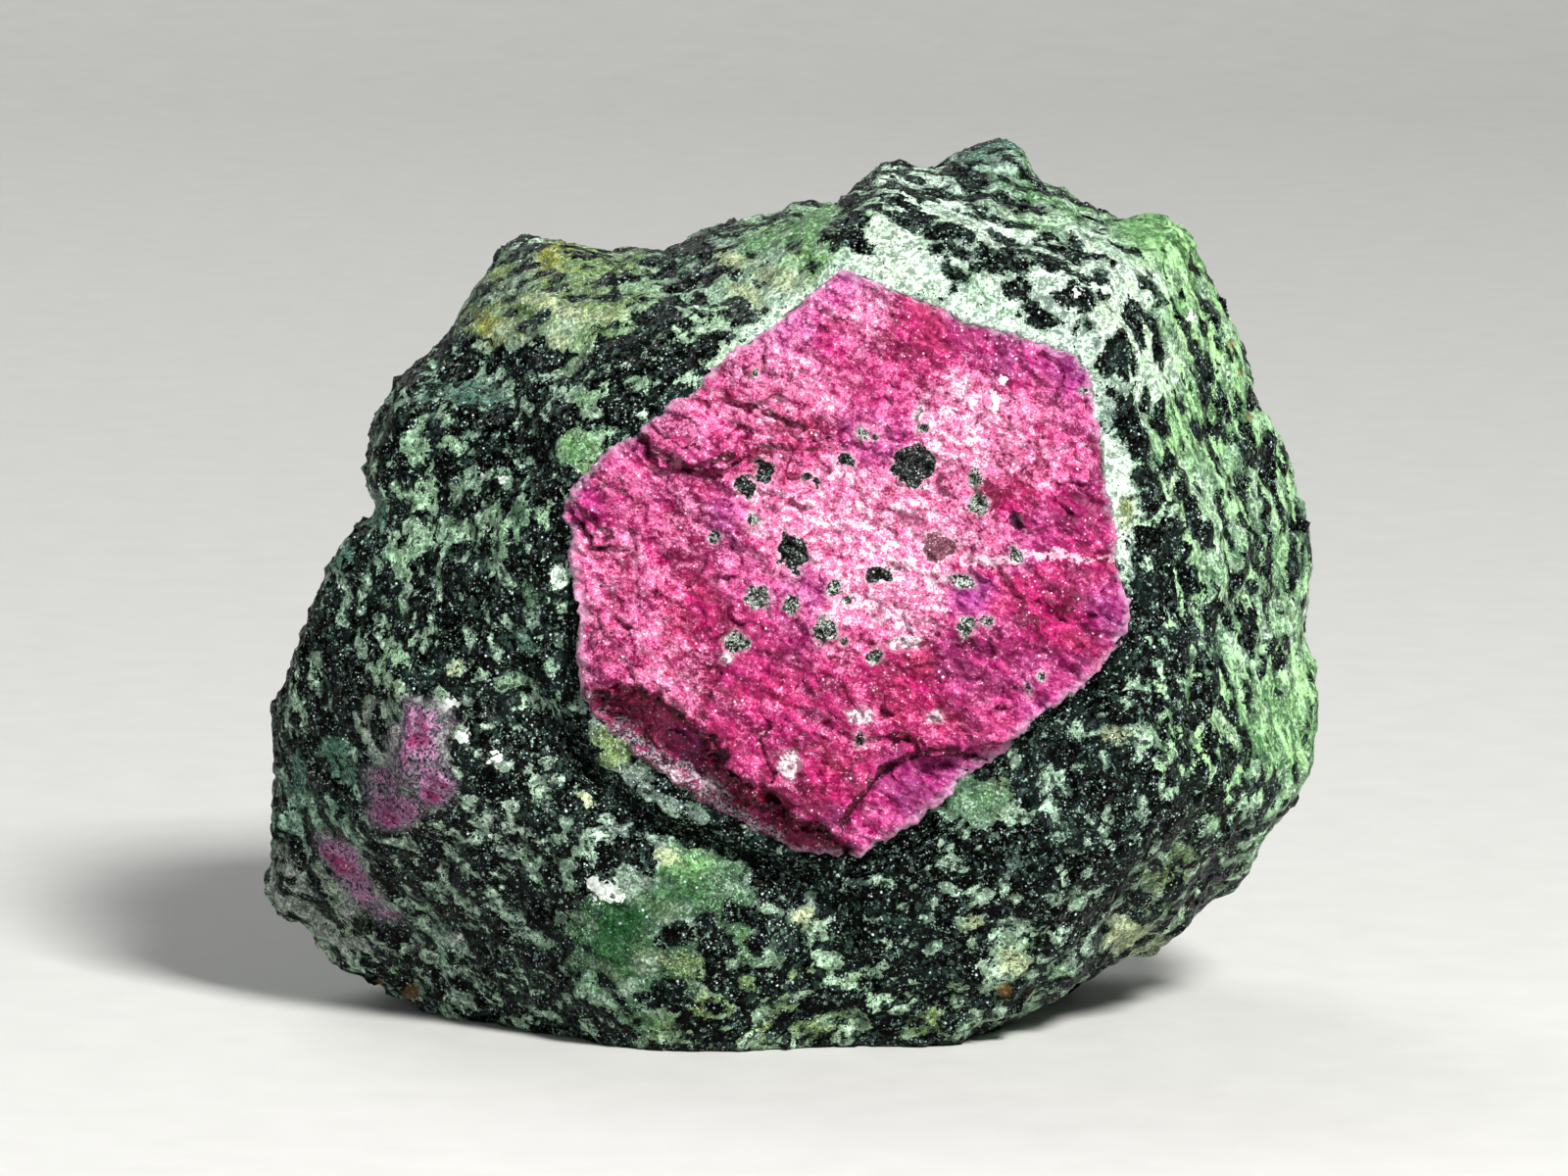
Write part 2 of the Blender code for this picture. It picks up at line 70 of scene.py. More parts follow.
# The face frame's place in the world
LEAN = Matrix.Rotation(math.radians(-8.0), 3, "X")
SHIFT = np.array([0.0149, -6.5555, -2.6])

# The camera, in the face frame
PIXELS_PER_MM = 12.0
PHOTO_WIDTH = 1600
PHOTO_HEIGHT = 1200
PHOTO_LEFT = 805.0  # pixel column of X = 0
PHOTO_BOTTOM = 1070.0  # pixel row of Z = 0
CAMERA_DISTANCE = 1100.0
SENSOR = 36.0
AXIS = (
    (PHOTO_WIDTH / 2 - PHOTO_LEFT) / PIXELS_PER_MM,
    (PHOTO_BOTTOM - PHOTO_HEIGHT / 2) / PIXELS_PER_MM,
)

# Meshes, in millimetres
SKIN_VOXEL = 0.535  # size of the cells that the stone's skin is grown in
SKIN_ROUNDS = 4  # how often the skin is smoothed before its relief is laid on
SEAM_COVER = 0.5  # how much wider each crystal is made there, to close the seam around it
BASE_HEIGHT = 0.25  # what lies lower than this belongs to the flat base
BASE_RELIEF = 0.12  # and rises by no more than this
RUBY_SPACING = 0.145  # gap between the points of the large ruby's face
RUBY_HALF = 25.0  # half of the square that its outline lies in
RUBY_SIDES = (0.7, 1.2, 1.8)  # rings of its sides, each so much deeper than the one before
OUTSIDE = -3.0  # depth in a grain of what is in none
SEED = 11

# Random grains of the stone: share of the black places, sizes, stretch, spacing and places tried.
BLACK_GRAINS = [(0.88, (0.5, 1.3), 2.0, 0.7, 50000), (0.35, (0.28, 0.55), 2.0, 0.7, 70000)]
PALE_GRAINS = (0.28, (0.22, 0.60), 2.4, 0.9, 60000)

# Random patches of zoisite: ground, size and strength.
ZOISITE_PATCHES = [("cream", 1.1, 0.35), ("dusk", 1.4, 0.55), ("bright", 1.2, 0.45), ("mint", 1.0, 0.45)]

# Sums of noise: size of the lumps, their height, and a shift that makes each noise its own.
STONE_LUMPS = [(4.2, 0.22, 1.0), (2.1, 0.28, 2.0), (1.05, 0.16, 3.0)]
BLOTCH_EDGES = [(2.0, 0.45, 7.0), (0.9, 0.35, 8.0)]
STEP_WANDER = [(2.8, 0.7, 21.0), (1.1, 0.5, 22.0), (0.5, 0.2, 23.0)]
SCARP_LUMPS = [(1.6, 1.1, 15.0), (0.7, 0.7, 16.0)]
RUBY_EDGE = [(1.8, 0.45, 31.0), (0.7, 0.35, 33.0)]
VEIN_WANDER = [(1.4, 7.0, 51.0), (0.5, 4.0, 53.0)]
CRACK_WANDER = [(1.7, 6.0, 52.0), (0.6, 4.0, 54.0)]

# Relief of the stone besides its lumps, in millimetres.
STONE_FOLDS = (3.0, 0.20, 4.0)  # size, depth and shift of the sharp furrows
STONE_CHIP = 2.2
STONE_CHIP_TILT = 0.12
GRAIN_RISE = 0.30  # how much the black grains stand out where they are dense
GRAIN_RIM = 0.12  # how deep the groove around each grain is

# Relief of the large ruby's face: ribs, by length, width, height and shift, and cleavage facets, by
# length, width, lift and tilt.
RUBY_RIBS = [(9.0, 2.6, 0.75, 4.0), (3.6, 1.1, 0.24, 9.0)]
RUBY_FACETS = [(2.8, 1.7, 0.16, 0.16), (1.1, 0.8, 0.07, 0.20)]
SCARP_FACETS = (1.3, 1.1, 0.5, 0.5)
CRACK_DEPTH = 0.22
PIT_DEPTH = 0.14

# Lamps: name, place in metres, side, watts and colour.
LAMPS = [
    ("key", (0.38, -0.74, 0.72), 0.22, 21.0, (1.0, 0.99, 0.97)),
    ("fill", (-0.8, -0.7, 0.35), 0.9, 1.2, (0.95, 0.98, 1.0)),
    ("back", (-0.4, 0.7, 0.8), 0.6, 4.0, (1.0, 1.0, 1.0)),
]
LAMP_TARGET = (0.0, 0.0, 0.037)
ROOM_COLOUR = (0.9, 0.95, 1.0, 1.0)
ROOM_STRENGTH = 0.11

# Base colours, as screen values
GROUNDS = {
    "mint": (0.87, 0.97, 0.89),
    "pale": (0.63, 0.78, 0.63),
    "green": (0.38, 0.54, 0.38),
    "bright": (0.44, 0.63, 0.39),
    "deep": (0.10, 0.32, 0.15),
    "teal": (0.30, 0.46, 0.40),
    "yellow": (0.56, 0.66, 0.36),
    "moss": (0.26, 0.42, 0.26),
    "lime": (0.44, 0.53, 0.32),
    "ochre": (0.60, 0.60, 0.20),
    "grey": (0.42, 0.47, 0.45),
    "ash": (0.60, 0.62, 0.60),
    "dusk": (0.30, 0.40, 0.36),
    "slate": (0.30, 0.38, 0.40),
    "cream": (0.74, 0.79, 0.60),
    "seam": (0.70, 0.83, 0.72),
}

# Zones of the front: column, row, radius, ground, share of black grains, and the way the grain runs
# in degrees anticlockwise from the right. Some shares of black grains at the bottom and the left are
# raised as painted shade, and the last two zones, dusk ones along the crevice under the large ruby,
# are painted shade.
ZONES = [
    (562, 262, 20, "ochre", 0.20, -5), (615, 300, 55, "yellow", 0.40, -5), (520, 310, 45, "lime", 0.34, -5),
    (496, 335, 22, "ochre", 0.24, -5), (541, 240, 26, "dusk", 0.80, 0), (700, 258, 45, "dusk", 0.62, -15),
    (685, 330, 55, "pale", 0.62, -20), (640, 400, 55, "pale", 0.70, -20), (575, 348, 26, "pale", 0.15, -20),
    (760, 320, 50, "pale", 0.50, -30), (800, 250, 42, "bright", 0.30, -30),
    (838, 212, 26, "bright", 0.12, 30), (790, 300, 26, "mint", 0.16, -30),
    (590, 400, 22, "green", 0.30, -20), (588, 453, 22, "bright", 0.25, -20),
    (870, 190, 46, "pale", 0.76, -30), (935, 195, 45, "mint", 0.60, -30),
    (1010, 165, 40, "teal", 0.50, -40), (1070, 190, 40, "bright", 0.25, -40),
    (930, 270, 50, "mint", 0.22, -20), (1010, 290, 60, "mint", 0.27, -30),
    (1080, 300, 50, "mint", 0.34, -45), (990, 325, 34, "mint", 0.02, -30),
    (1120, 350, 36, "mint", 0.24, -70), (1190, 232, 40, "bright", 0.06, -60),
    (1150, 300, 36, "mint", 0.28, -65), (1182, 380, 30, "mint", 0.08, -70),
    (1162, 430, 20, "slate", 0.80, -75), (1220, 420, 45, "bright", 0.30, -65),
    (1280, 450, 45, "green", 0.42, -65), (1225, 330, 40, "bright", 0.22, -60),
    (1174, 530, 24, "slate", 0.95, -75), (1240, 530, 50, "pale", 0.30, -70),
    (1310, 540, 45, "green", 0.44, -70), (1195, 640, 46, "dusk", 0.96, -60),
    (1140, 480, 20, "mint", 0.08, -80), (1150, 540, 20, "mint", 0.10, -80),
    (1280, 640, 52, "pale", 0.32, -60), (1310, 730, 60, "bright", 0.26, -60),
    (1240, 740, 55, "bright", 0.54, -45), (1150, 730, 55, "dusk", 0.90, -50),
    (1260, 820, 55, "pale", 0.58, -40), (1180, 840, 60, "grey", 0.76, -50),
    (1080, 830, 75, "dusk", 0.90, -50), (1008, 812, 30, "green", 0.20, -30),
    (1200, 900, 48, "lime", 0.60, -50), (1100, 930, 65, "grey", 0.76, -50),
    (1150, 952, 26, "cream", 0.15, -45), (1030, 980, 45, "pale", 0.50, -45),
    (960, 940, 55, "dusk", 0.78, -30), (944, 1036, 45, "lime", 0.76, -20),
    (860, 985, 45, "pale", 0.60, -20), (820, 1035, 50, "lime", 0.80, -10),
    (735, 1005, 40, "lime", 0.70, -15), (622, 955, 45, "deep", 0.06, -20),
    (700, 895, 50, "moss", 0.08, -20), (660, 980, 36, "moss", 0.22, -20), (578, 985, 32, "moss", 0.34, -20),
    (740, 960, 50, "moss", 0.44, -20), (780, 890, 40, "dusk", 0.60, -20), (890, 905, 50, "dusk", 0.82, -20),
    (800, 930, 34, "grey", 0.45, -20), (650, 865, 34, "grey", 0.56, -20), (590, 820, 50, "grey", 0.74, -20),
    (622, 765, 24, "lime", 0.34, -45), (560, 895, 55, "dusk", 0.90, -25), (480, 830, 55, "ash", 0.80, -25),
    (500, 930, 65, "grey", 0.86, -30), (430, 965, 55, "grey", 0.70, -33), (330, 940, 45, "ash", 0.34, -33),
    (370, 1000, 45, "pale", 0.56, -33), (540, 1010, 55, "pale", 0.76, -10),
    (450, 1020, 45, "grey", 0.72, -15), (425, 735, 45, "ash", 0.34, -60), (332, 800, 45, "teal", 0.64, -70),
    (300, 720, 38, "dusk", 0.90, -70), (330, 640, 48, "dusk", 0.82, -70), (350, 570, 40, "teal", 0.78, -60),
    (425, 565, 42, "pale", 0.68, -60), (435, 475, 42, "pale", 0.64, -55), (400, 420, 38, "teal", 0.76, -50),
    (480, 385, 42, "teal", 0.76, -20), (540, 415, 58, "dusk", 0.90, -50), (500, 480, 52, "teal", 0.76, -50),
    (540, 560, 52, "pale", 0.72, -65), (578, 570, 24, "mint", 0.25, -70), (480, 620, 56, "dusk", 0.92, -60),
    (560, 655, 42, "teal", 0.84, -60), (430, 675, 38, "pale", 0.74, -50), (520, 700, 52, "dusk", 0.86, -30),
    # The last two zones, along the crevice under the large ruby, are painted shade.
    (505, 765, 45, "ash", 0.74, -25), (575, 740, 34, "dusk", 0.80, -30), (700, 838, 36, "dusk", 0.92, -30),
    (770, 866, 34, "dusk", 0.92, -25),
]

# Zones of the sides and back: how many, and their grounds and shares of black grains.
FAR_COUNT = 170
FAR_KINDS = [
    ("mint", 0.28), ("pale", 0.42), ("green", 0.40), ("bright", 0.22), ("deep", 0.15), ("teal", 0.55),
    ("dusk", 0.78), ("dusk", 0.70), ("grey", 0.58), ("lime", 0.42), ("dusk", 0.82), ("pale", 0.50),
]

# Black grains that stand out, as column, row, width, height and turn.
GRAINS = [
    (891, 172, 40, 34, 20), (869, 205, 52, 46, -20), (935, 220, 36, 26, -20), (998, 212, 34, 24, -30),
    (1039, 187, 26, 22, 0), (1052, 214, 34, 24, -30), (1046, 230, 20, 14, 0), (1072, 242, 26, 18, -40),
    (1017, 264, 52, 34, -25), (980, 257, 26, 16, -30), (1039, 294, 32, 26, -40), (1061, 320, 32, 28, -30),
    (1085, 305, 22, 16, -40), (1109, 301, 20, 30, -10), (1098, 257, 26, 18, -50), (1124, 279, 18, 26, 0),
    (1113, 220, 26, 20, -40), (1087, 201, 24, 16, -20), (1139, 360, 34, 58, -8), (1161, 316, 18, 30, 10),
    (1172, 331, 14, 26, 15), (1163, 438, 32, 74, 10), (1172, 490, 26, 40, 15), (1183, 545, 50, 50, 0),
    (1209, 482, 18, 36, 20), (385, 742, 22, 40, 10), (1246, 520, 20, 34, 20), (1272, 520, 16, 30, 20),
    (1313, 482, 16, 30, 20), (1228, 394, 14, 34, 20), (1242, 409, 14, 30, 20), (1272, 457, 14, 30, 20),
    (1187, 275, 12, 24, 20), (1280, 665, 22, 18, 0), (1308, 676, 22, 28, 0), (1274, 702, 18, 26, 10),
    (1258, 727, 18, 26, 10), (1272, 749, 16, 24, 10), (1328, 772, 16, 18, 0), (1312, 706, 16, 22, 10),
    (1300, 600, 18, 30, 15), (686, 957, 36, 32, 10), (720, 938, 24, 22, 0), (751, 932, 24, 22, 0),
    (728, 966, 42, 44, 0), (773, 966, 24, 24, 0), (821, 971, 38, 28, -30), (855, 929, 40, 28, -20),
    (888, 955, 30, 26, 0), (784, 1002, 34, 30, -20), (756, 1022, 34, 24, 0), (686, 1011, 46, 26, 10),
    (829, 1028, 38, 20, 10), (911, 1022, 34, 28, 0), (436, 859, 36, 14, 0), (612, 885, 30, 26, 0),
    (541, 243, 44, 22, 0), (705, 258, 46, 34, 0), (742, 240, 36, 26, 0), (715, 300, 34, 20, -20),
    (690, 352, 44, 22, -25), (655, 372, 40, 22, -20), (640, 410, 60, 26, -15), (735, 345, 36, 22, -30),
    (770, 290, 26, 18, -40), (560, 385, 30, 64, 12), (520, 430, 46, 34, -40), (480, 420, 40, 26, -40),
    (505, 500, 40, 28, -50), (470, 590, 60, 44, -30), (520, 620, 44, 40, 0), (548, 600, 26, 60, 10),
    (560, 500, 26, 60, 10), (396, 600, 30, 40, 10), (455, 650, 50, 24, -30), (580, 640, 22, 60, 5),
    (590, 760, 36, 24, -40), (540, 735, 40, 22, -20), (640, 830, 50, 24, -35), (520, 885, 46, 22, -10),
    (470, 900, 40, 22, -20), (560, 940, 44, 26, -30), (1010, 780, 26, 22, 0), (1050, 800, 40, 34, 0),
    (1085, 770, 40, 46, 0), (1040, 850, 36, 34, 0), (1120, 820, 34, 46, 10), (1075, 880, 34, 40, 20),
    (985, 860, 34, 26, 0), (1000, 900, 36, 30, 0), (940, 890, 34, 26, 0), (1180, 600, 52, 40, 0),
    (1220, 590, 22, 30, 0), (1200, 660, 60, 40, 0), (1165, 690, 30, 44, 0), (1225, 705, 26, 26, 0),
    (1130, 715, 30, 30, 0),
]

# Coloured blotches of the front: column, row, width, height, turn and ground.
BLOTCHES = [
    (560, 261, 26, 16, 0, "ochre"), (496, 332, 30, 18, -10, "ochre"), (573, 348, 26, 20, 0, "cream"),
    (1147, 522, 20, 40, 0, "ochre"), (1140, 749, 34, 26, 0, "cream"), (1005, 817, 44, 36, 0, "green"),
    (587, 453, 34, 22, -20, "bright"), (591, 402, 24, 18, 0, "green"), (478, 400, 60, 30, -20, "teal"),
    (424, 450, 30, 44, -10, "pale"), (459, 457, 30, 26, 0, "pale"), (424, 504, 44, 34, -30, "pale"),
    (422, 559, 30, 60, -10, "pale"), (474, 542, 30, 26, 0, "pale"), (509, 529, 22, 60, 12, "pale"),
    (529, 529, 18, 40, 12, "green"), (571, 574, 20, 60, 5, "mint"), (543, 609, 30, 30, 0, "green"),
    (412, 666, 44, 30, -20, "pale"), (461, 683, 26, 18, 0, "cream"), (524, 698, 60, 16, 15, "pale"),
    (536, 654, 34, 26, 0, "teal"), (384, 522, 26, 40, -10, "teal"), (349, 567, 24, 34, 0, "teal"),
    (337, 764, 30, 60, 10, "teal"), (304, 790, 16, 50, 5, "teal"), (599, 815, 26, 14, -20, "cream"),
    (717, 896, 90, 70, -10, "moss"), (625, 941, 80, 50, -10, "deep"), (616, 966, 60, 40, -10, "deep"),
    (700, 880, 50, 26, 0, "bright"), (678, 873, 26, 16, 0, "cream"), (700, 986, 44, 20, 0, "lime"),
    (728, 1028, 44, 26, 0, "lime"), (762, 1002, 26, 16, 0, "lime"), (821, 994, 40, 16, 10, "lime"),
    (801, 1028, 30, 26, 0, "lime"), (829, 1050, 60, 18, 0, "lime"), (944, 1044, 40, 22, 0, "lime"),
    (824, 935, 30, 20, 0, "cream"), (1207, 873, 30, 26, 0, "lime"), (1151, 952, 44, 30, 30, "cream"),
    (1182, 895, 34, 26, 0, "lime"), (1036, 982, 30, 26, 0, "cream"), (1081, 991, 30, 20, 0, "pale"),
    (996, 943, 20, 16, 0, "cream"), (602, 722, 26, 50, 10, "grey"), (618, 764, 44, 30, -48, "lime"),
    (655, 797, 52, 22, -38, "grey"), (702, 826, 50, 16, -30, "grey"), (790, 283, 46, 22, -25, "cream"),
    (742, 262, 40, 18, -25, "cream"), (765, 300, 40, 18, -25, "cream"), (728, 300, 26, 14, -20, "seam"),
    (842, 214, 50, 20, 35, "bright"), (600, 322, 60, 14, -5, "cream"), (640, 290, 50, 12, -10, "pale"),
    (560, 310, 60, 14, -8, "cream"), (1182, 378, 20, 60, 8, "mint"), (1182, 231, 60, 34, -20, "bright"),
    (1310, 740, 60, 90, 0, "bright"), (300, 925, 40, 14, -33, "ash"), (330, 950, 60, 12, -33, "ash"),
    (365, 965, 60, 12, -30, "ash"), (350, 1000, 60, 14, -33, "pale"), (468, 958, 22, 14, 0, "ash"),
]

# Crevices of the front, as runs of columns and rows, with a width in pixels and a depth. They are sunk
# by their depth and also filled with black grain colour as painted shade.
CREVICES = [
    (
        [
            (578, 740), (598, 780), (630, 815), (672, 838), (720, 858), (790, 886), (850, 893),
            (905, 874), (950, 840),
        ],
        11.0, 1.1,
    ),
    ([(590, 600), (584, 650), (582, 700)], 9.0, 0.6),
    ([(1165, 600), (1160, 660), (1130, 700), (1090, 730)], 14.0, 0.8),
]

# Rust stains, and mica glints painted silvery white as highlights: column, row and radius.
STAINS = [(418, 1014, 9), (385, 1005, 5), (1025, 1011, 8), (1258, 350, 5), (1266, 380, 5), (1276, 425, 6)]
GLINTS = [
    (617, 911, 12), (604, 901, 7), (630, 916, 7), (491, 486, 3), (512, 489, 4), (347, 601, 4),
    (462, 716, 6), (472, 751, 7), (505, 773, 6), (468, 958, 4), (452, 722, 5), (1100, 300, 5),
    (1216, 322, 5),
]

# Patches of the small rubies: column, row, width, height, turn and strength. The first six are the
# upper ruby's, and the others the lower one's.
UPPER_PATCHES = 6
RUBY_PATCHES = [
    (425, 745, 34, 62, 6, 1.0), (402, 828, 56, 38, 0, 1.0), (444, 804, 44, 44, 0, 0.9),
    (426, 770, 70, 96, 0, 0.62), (392, 800, 50, 56, 0, 0.62), (440, 735, 60, 46, 0, 0.6),
    (350, 884, 70, 22, -38, 1.0), (345, 870, 66, 30, -38, 0.7), (366, 908, 66, 28, -36, 0.68),
    (392, 929, 44, 20, -30, 0.6),
]

# The large ruby, in the face frame, as the CAD has it
RUBY_OUTLINE = [
    (4.2, 65.5), (6.4, 65.0), (8.3, 63.9), (11.6, 62.9), (14.6, 61.2), (20.4, 59.5),
    (23.6, 58.4), (24.8, 56.8), (25.2, 53.5), (26.4, 47.5), (27.2, 41.5), (27.9, 37.5),
    (27.7, 35.6), (26.2, 33.4), (20.4, 28.4), (14.5, 23.7), (8.2, 18.7), (6.0, 17.2),
    (3.8, 16.8), (0.6, 17.3), (-3.4, 19.7), (-6.8, 20.9), (-9.0, 23.0), (-14.0, 26.8),
    (-16.5, 29.0), (-17.0, 31.0), (-17.2, 37.0), (-17.9, 43.4), (-18.6, 45.9), (-18.0, 47.3),
    (-12.8, 51.8), (-8.4, 55.0), (-1.5, 60.7), (1.9, 63.7),
]
RUBY_MIDDLE = (4.8, 41.5)
RUBY_LEVEL = 25.6
RUBY_CROWN = 1.3
RUBY_HALF_WIDTH = 22.0
RUBY_GRAIN_DEG = -28.0
RUBY_OVERLAP = 0.25  # how far its rim goes into the stone around it

# Steps of its face: the edge's points with the low side on the right, drop, width and reach.
RUBY_STEPS = [
    (
        [(-18.7, 31.3), (-11.2, 31.7), (-8.6, 30.1), (-6.4, 27.4), (-4.0, 24.1), (-0.4, 21.7), (6.1, 18.0)],
        3.3, 2.4, 60.0,
    ),
    (
        [
            (4.1, 17.5), (4.5, 19.6), (5.1, 20.9), (6.7, 22.8), (7.6, 24.0), (9.2, 24.9), (10.7, 25.6),
            (14.6, 25.9), (18.5, 26.8),
        ],
        1.7, 0.35, 30.0,
    ),
    ([(7.3, 27.0), (9.4, 26.8), (10.7, 26.2), (12.4, 25.7)], 0.6, 0.3, 3.0),
    ([(-14.5, 54.0), (-12.4, 52.0), (-10.3, 49.9), (-9.2, 49.0), (-7.8, 49.5), (-5.4, 49.9)], 1.2, 0.5, 2.6),
    ([(-19.5, 46.6), (-17.8, 45.6), (-16.2, 44.0), (-15.0, 43.0)], 0.9, 0.5, 2.5),
    ([(-4.0, 54.4), (-1.0, 52.6), (3.0, 51.4), (6.0, 51.6)], 0.4, 0.8, 3.0),
    ([(-4.2, 54.8), (-2.4, 55.0)], 0.7, 0.4, 2.5),
    ([(-16.4, 48.0), (-14.2, 47.3)], 0.5, 0.4, 2.0),
]

# Zones of its face: column, row, radius, frost, violet and depth of the red.
RUBY_ZONES = [
    (862, 292, 26, 0.42, 0.80, 0.5), (800, 340, 34, 0.52, 0.75, 0.5), (880, 330, 34, 0.66, 0.20, 0.4),
    (850, 350, 22, 0.20, 0.20, 0.9), (940, 350, 40, 0.14, 0.10, 1.0), (1000, 345, 34, 0.28, 0.35, 0.8),
    (985, 320, 20, 0.20, 0.70, 0.6), (1090, 375, 34, 0.22, 0.75, 0.6), (1040, 370, 30, 0.25, 0.45, 0.7),
    (900, 390, 40, 0.42, 0.20, 0.5), (800, 400, 44, 0.60, 0.10, 0.5), (740, 410, 34, 0.46, 0.15, 0.6),
    (690, 430, 30, 0.48, 0.25, 0.5), (640, 450, 22, 0.40, 0.40, 0.6), (800, 450, 36, 0.40, 0.05, 0.8),
    (980, 410, 40, 0.70, 0.10, 0.3), (1050, 420, 40, 0.50, 0.20, 0.6), (1100, 430, 26, 0.40, 0.35, 0.7),
    (1040, 465, 44, 0.62, 0.05, 0.4), (1100, 475, 24, 0.50, 0.30, 0.5), (895, 440, 30, 0.35, 0.55, 0.5),
    (700, 480, 36, 0.40, 0.25, 0.6), (650, 510, 34, 0.40, 0.30, 0.7), (600, 520, 20, 0.20, 0.45, 0.9),
    (740, 525, 20, 0.35, 0.80, 0.4), (690, 550, 44, 0.42, 0.12, 0.6), (620, 570, 34, 0.52, 0.15, 0.5),
    (750, 570, 34, 0.46, 0.35, 0.5), (800, 520, 34, 0.64, 0.05, 0.3), (860, 510, 34, 0.70, 0.00, 0.2),
    (930, 520, 40, 0.62, 0.00, 0.3), (860, 560, 30, 0.66, 0.05, 0.3), (905, 560, 30, 0.70, 0.00, 0.2),
    (925, 615, 36, 0.72, 0.00, 0.2), (870, 620, 30, 0.74, 0.10, 0.2), (830, 605, 22, 0.40, 0.75, 0.3),
    (1030, 505, 26, 0.15, 0.05, 1.0), (1105, 520, 34, 0.18, 0.20, 0.9), (1000, 545, 30, 0.55, 0.15, 0.4),
    (1060, 550, 30, 0.34, 0.45, 0.6), (1090, 582, 34, 0.24, 0.15, 0.9), (990, 610, 18, 0.14, 0.95, 0.8),
    (1080, 630, 40, 0.12, 0.08, 1.0), (1128, 620, 24, 0.28, 0.70, 0.6), (1020, 640, 24, 0.36, 0.25, 0.7),
    (640, 640, 44, 0.52, 0.18, 0.5), (700, 625, 34, 0.34, 0.05, 0.6), (610, 680, 28, 0.40, 0.25, 0.7),
    (690, 680, 30, 0.56, 0.08, 0.4), (760, 670, 34, 0.22, 0.15, 0.9), (810, 650, 30, 0.34, 0.35, 0.6),
    (870, 665, 30, 0.45, 0.10, 0.5), (920, 690, 36, 0.20, 0.05, 0.9), (1000, 670, 40, 0.22, 0.30, 0.8),
    (1070, 690, 34, 0.30, 0.45, 0.7), (760, 730, 34, 0.30, 0.12, 0.7), (820, 730, 36, 0.26, 0.15, 0.8),
    (880, 740, 34, 0.36, 0.10, 0.8), (940, 740, 34, 0.30, 0.05, 0.9), (1000, 730, 34, 0.34, 0.25, 0.7),
    (1060, 735, 24, 0.34, 0.60, 0.6), (790, 790, 30, 0.36, 0.15, 0.8), (850, 790, 34, 0.24, 0.05, 0.9),
    (930, 800, 34, 0.20, 0.55, 0.6), (880, 845, 34, 0.26, 0.35, 0.7), (980, 780, 24, 0.20, 0.65, 0.7),
    (640, 725, 26, 0.34, 0.10, 0.8), (650, 765, 30, 0.36, 0.20, 0.7), (712, 768, 18, 0.16, 0.60, 1.0),
    (730, 820, 34, 0.36, 0.25, 0.7), (800, 850, 30, 0.30, 0.15, 0.9), (850, 868, 20, 0.40, 0.20, 0.7),
]

# Mineral grains in its face: column, row, width, height, turn and kind.
RUBY_GRAINS = [
    (933, 476, 44, 40, 0, "black"), (780, 482, 20, 26, 10, "black"), (761, 495, 20, 24, 10, "black"),
    (809, 564, 30, 44, 5, "black"), (895, 586, 28, 18, 0, "black"), (864, 469, 17, 15, 0, "black"),
    (823, 486, 9, 8, 0, "black"), (834, 495, 7, 13, 20, "black"), (774, 610, 26, 22, 0, "mottled"),
    (807, 618, 17, 19, 0, "mottled"), (841, 642, 23, 30, 10, "mottled"), (750, 655, 24, 22, 0, "mottled"),
    (742, 671, 14, 10, 0, "cream"), (851, 600, 14, 20, -30, "mottled"), (894, 668, 18, 15, 20, "mottled"),
    (923, 657, 28, 15, 5, "cream"), (986, 640, 19, 19, 0, "mottled"), (1007, 633, 14, 11, 0, "mottled"),
    (982, 593, 28, 13, -5, "mottled"), (1036, 568, 15, 17, 0, "mottled"), (1037, 531, 14, 20, 0, "plum"),
    (958, 558, 32, 30, 15, "brown"), (995, 488, 13, 20, 0, "mottled"), (998, 514, 20, 20, 0, "mottled"),
    (880, 442, 13, 12, 0, "mottled"), (893, 446, 8, 8, 0, "black"), (939, 421, 13, 16, 0, "cream"),
    (942, 437, 16, 10, 0, "mottled"), (729, 549, 12, 12, 0, "mottled"), (767, 532, 11, 20, 0, "mottled"),
    (877, 756, 10, 13, 0, "black"), (878, 731, 24, 15, 0, "cream"), (804, 781, 20, 26, -10, "cream"),
    (861, 655, 6, 7, 0, "black"), (955, 731, 16, 12, 0, "cream"), (1064, 690, 8, 10, 0, "mottled"),
    (1016, 411, 9, 22, 12, "white"), (1024, 389, 6, 9, 0, "white"), (1049, 703, 5, 9, 0, "black"),
    (771, 380, 7, 8, 0, "mottled"), (1108, 398, 12, 9, 0, "mottled"), (865, 612, 12, 9, 0, "mottled"),
    (650, 762, 90, 30, -44, "rubble"), (712, 806, 110, 34, -36, "rubble"),
    (766, 842, 70, 22, -30, "rubble"), (726, 799, 22, 11, -20, "cream"), (688, 792, 18, 12, -30, "cream"),
]

# Pale veins in its face, as runs of columns and rows, with a width in pixels and a strength.
RUBY_VEINS = [
    ([(985, 570), (1020, 574), (1045, 566), (1085, 564), (1112, 571), (1142, 566)], 4.5, 1.0),
    ([(812, 676), (798, 700), (786, 730), (771, 762)], 2.6, 0.5),
    ([(985, 652), (1010, 668), (1040, 700)], 1.6, 0.5),
    ([(640, 660), (690, 690), (720, 705)], 2.0, 0.5),
]

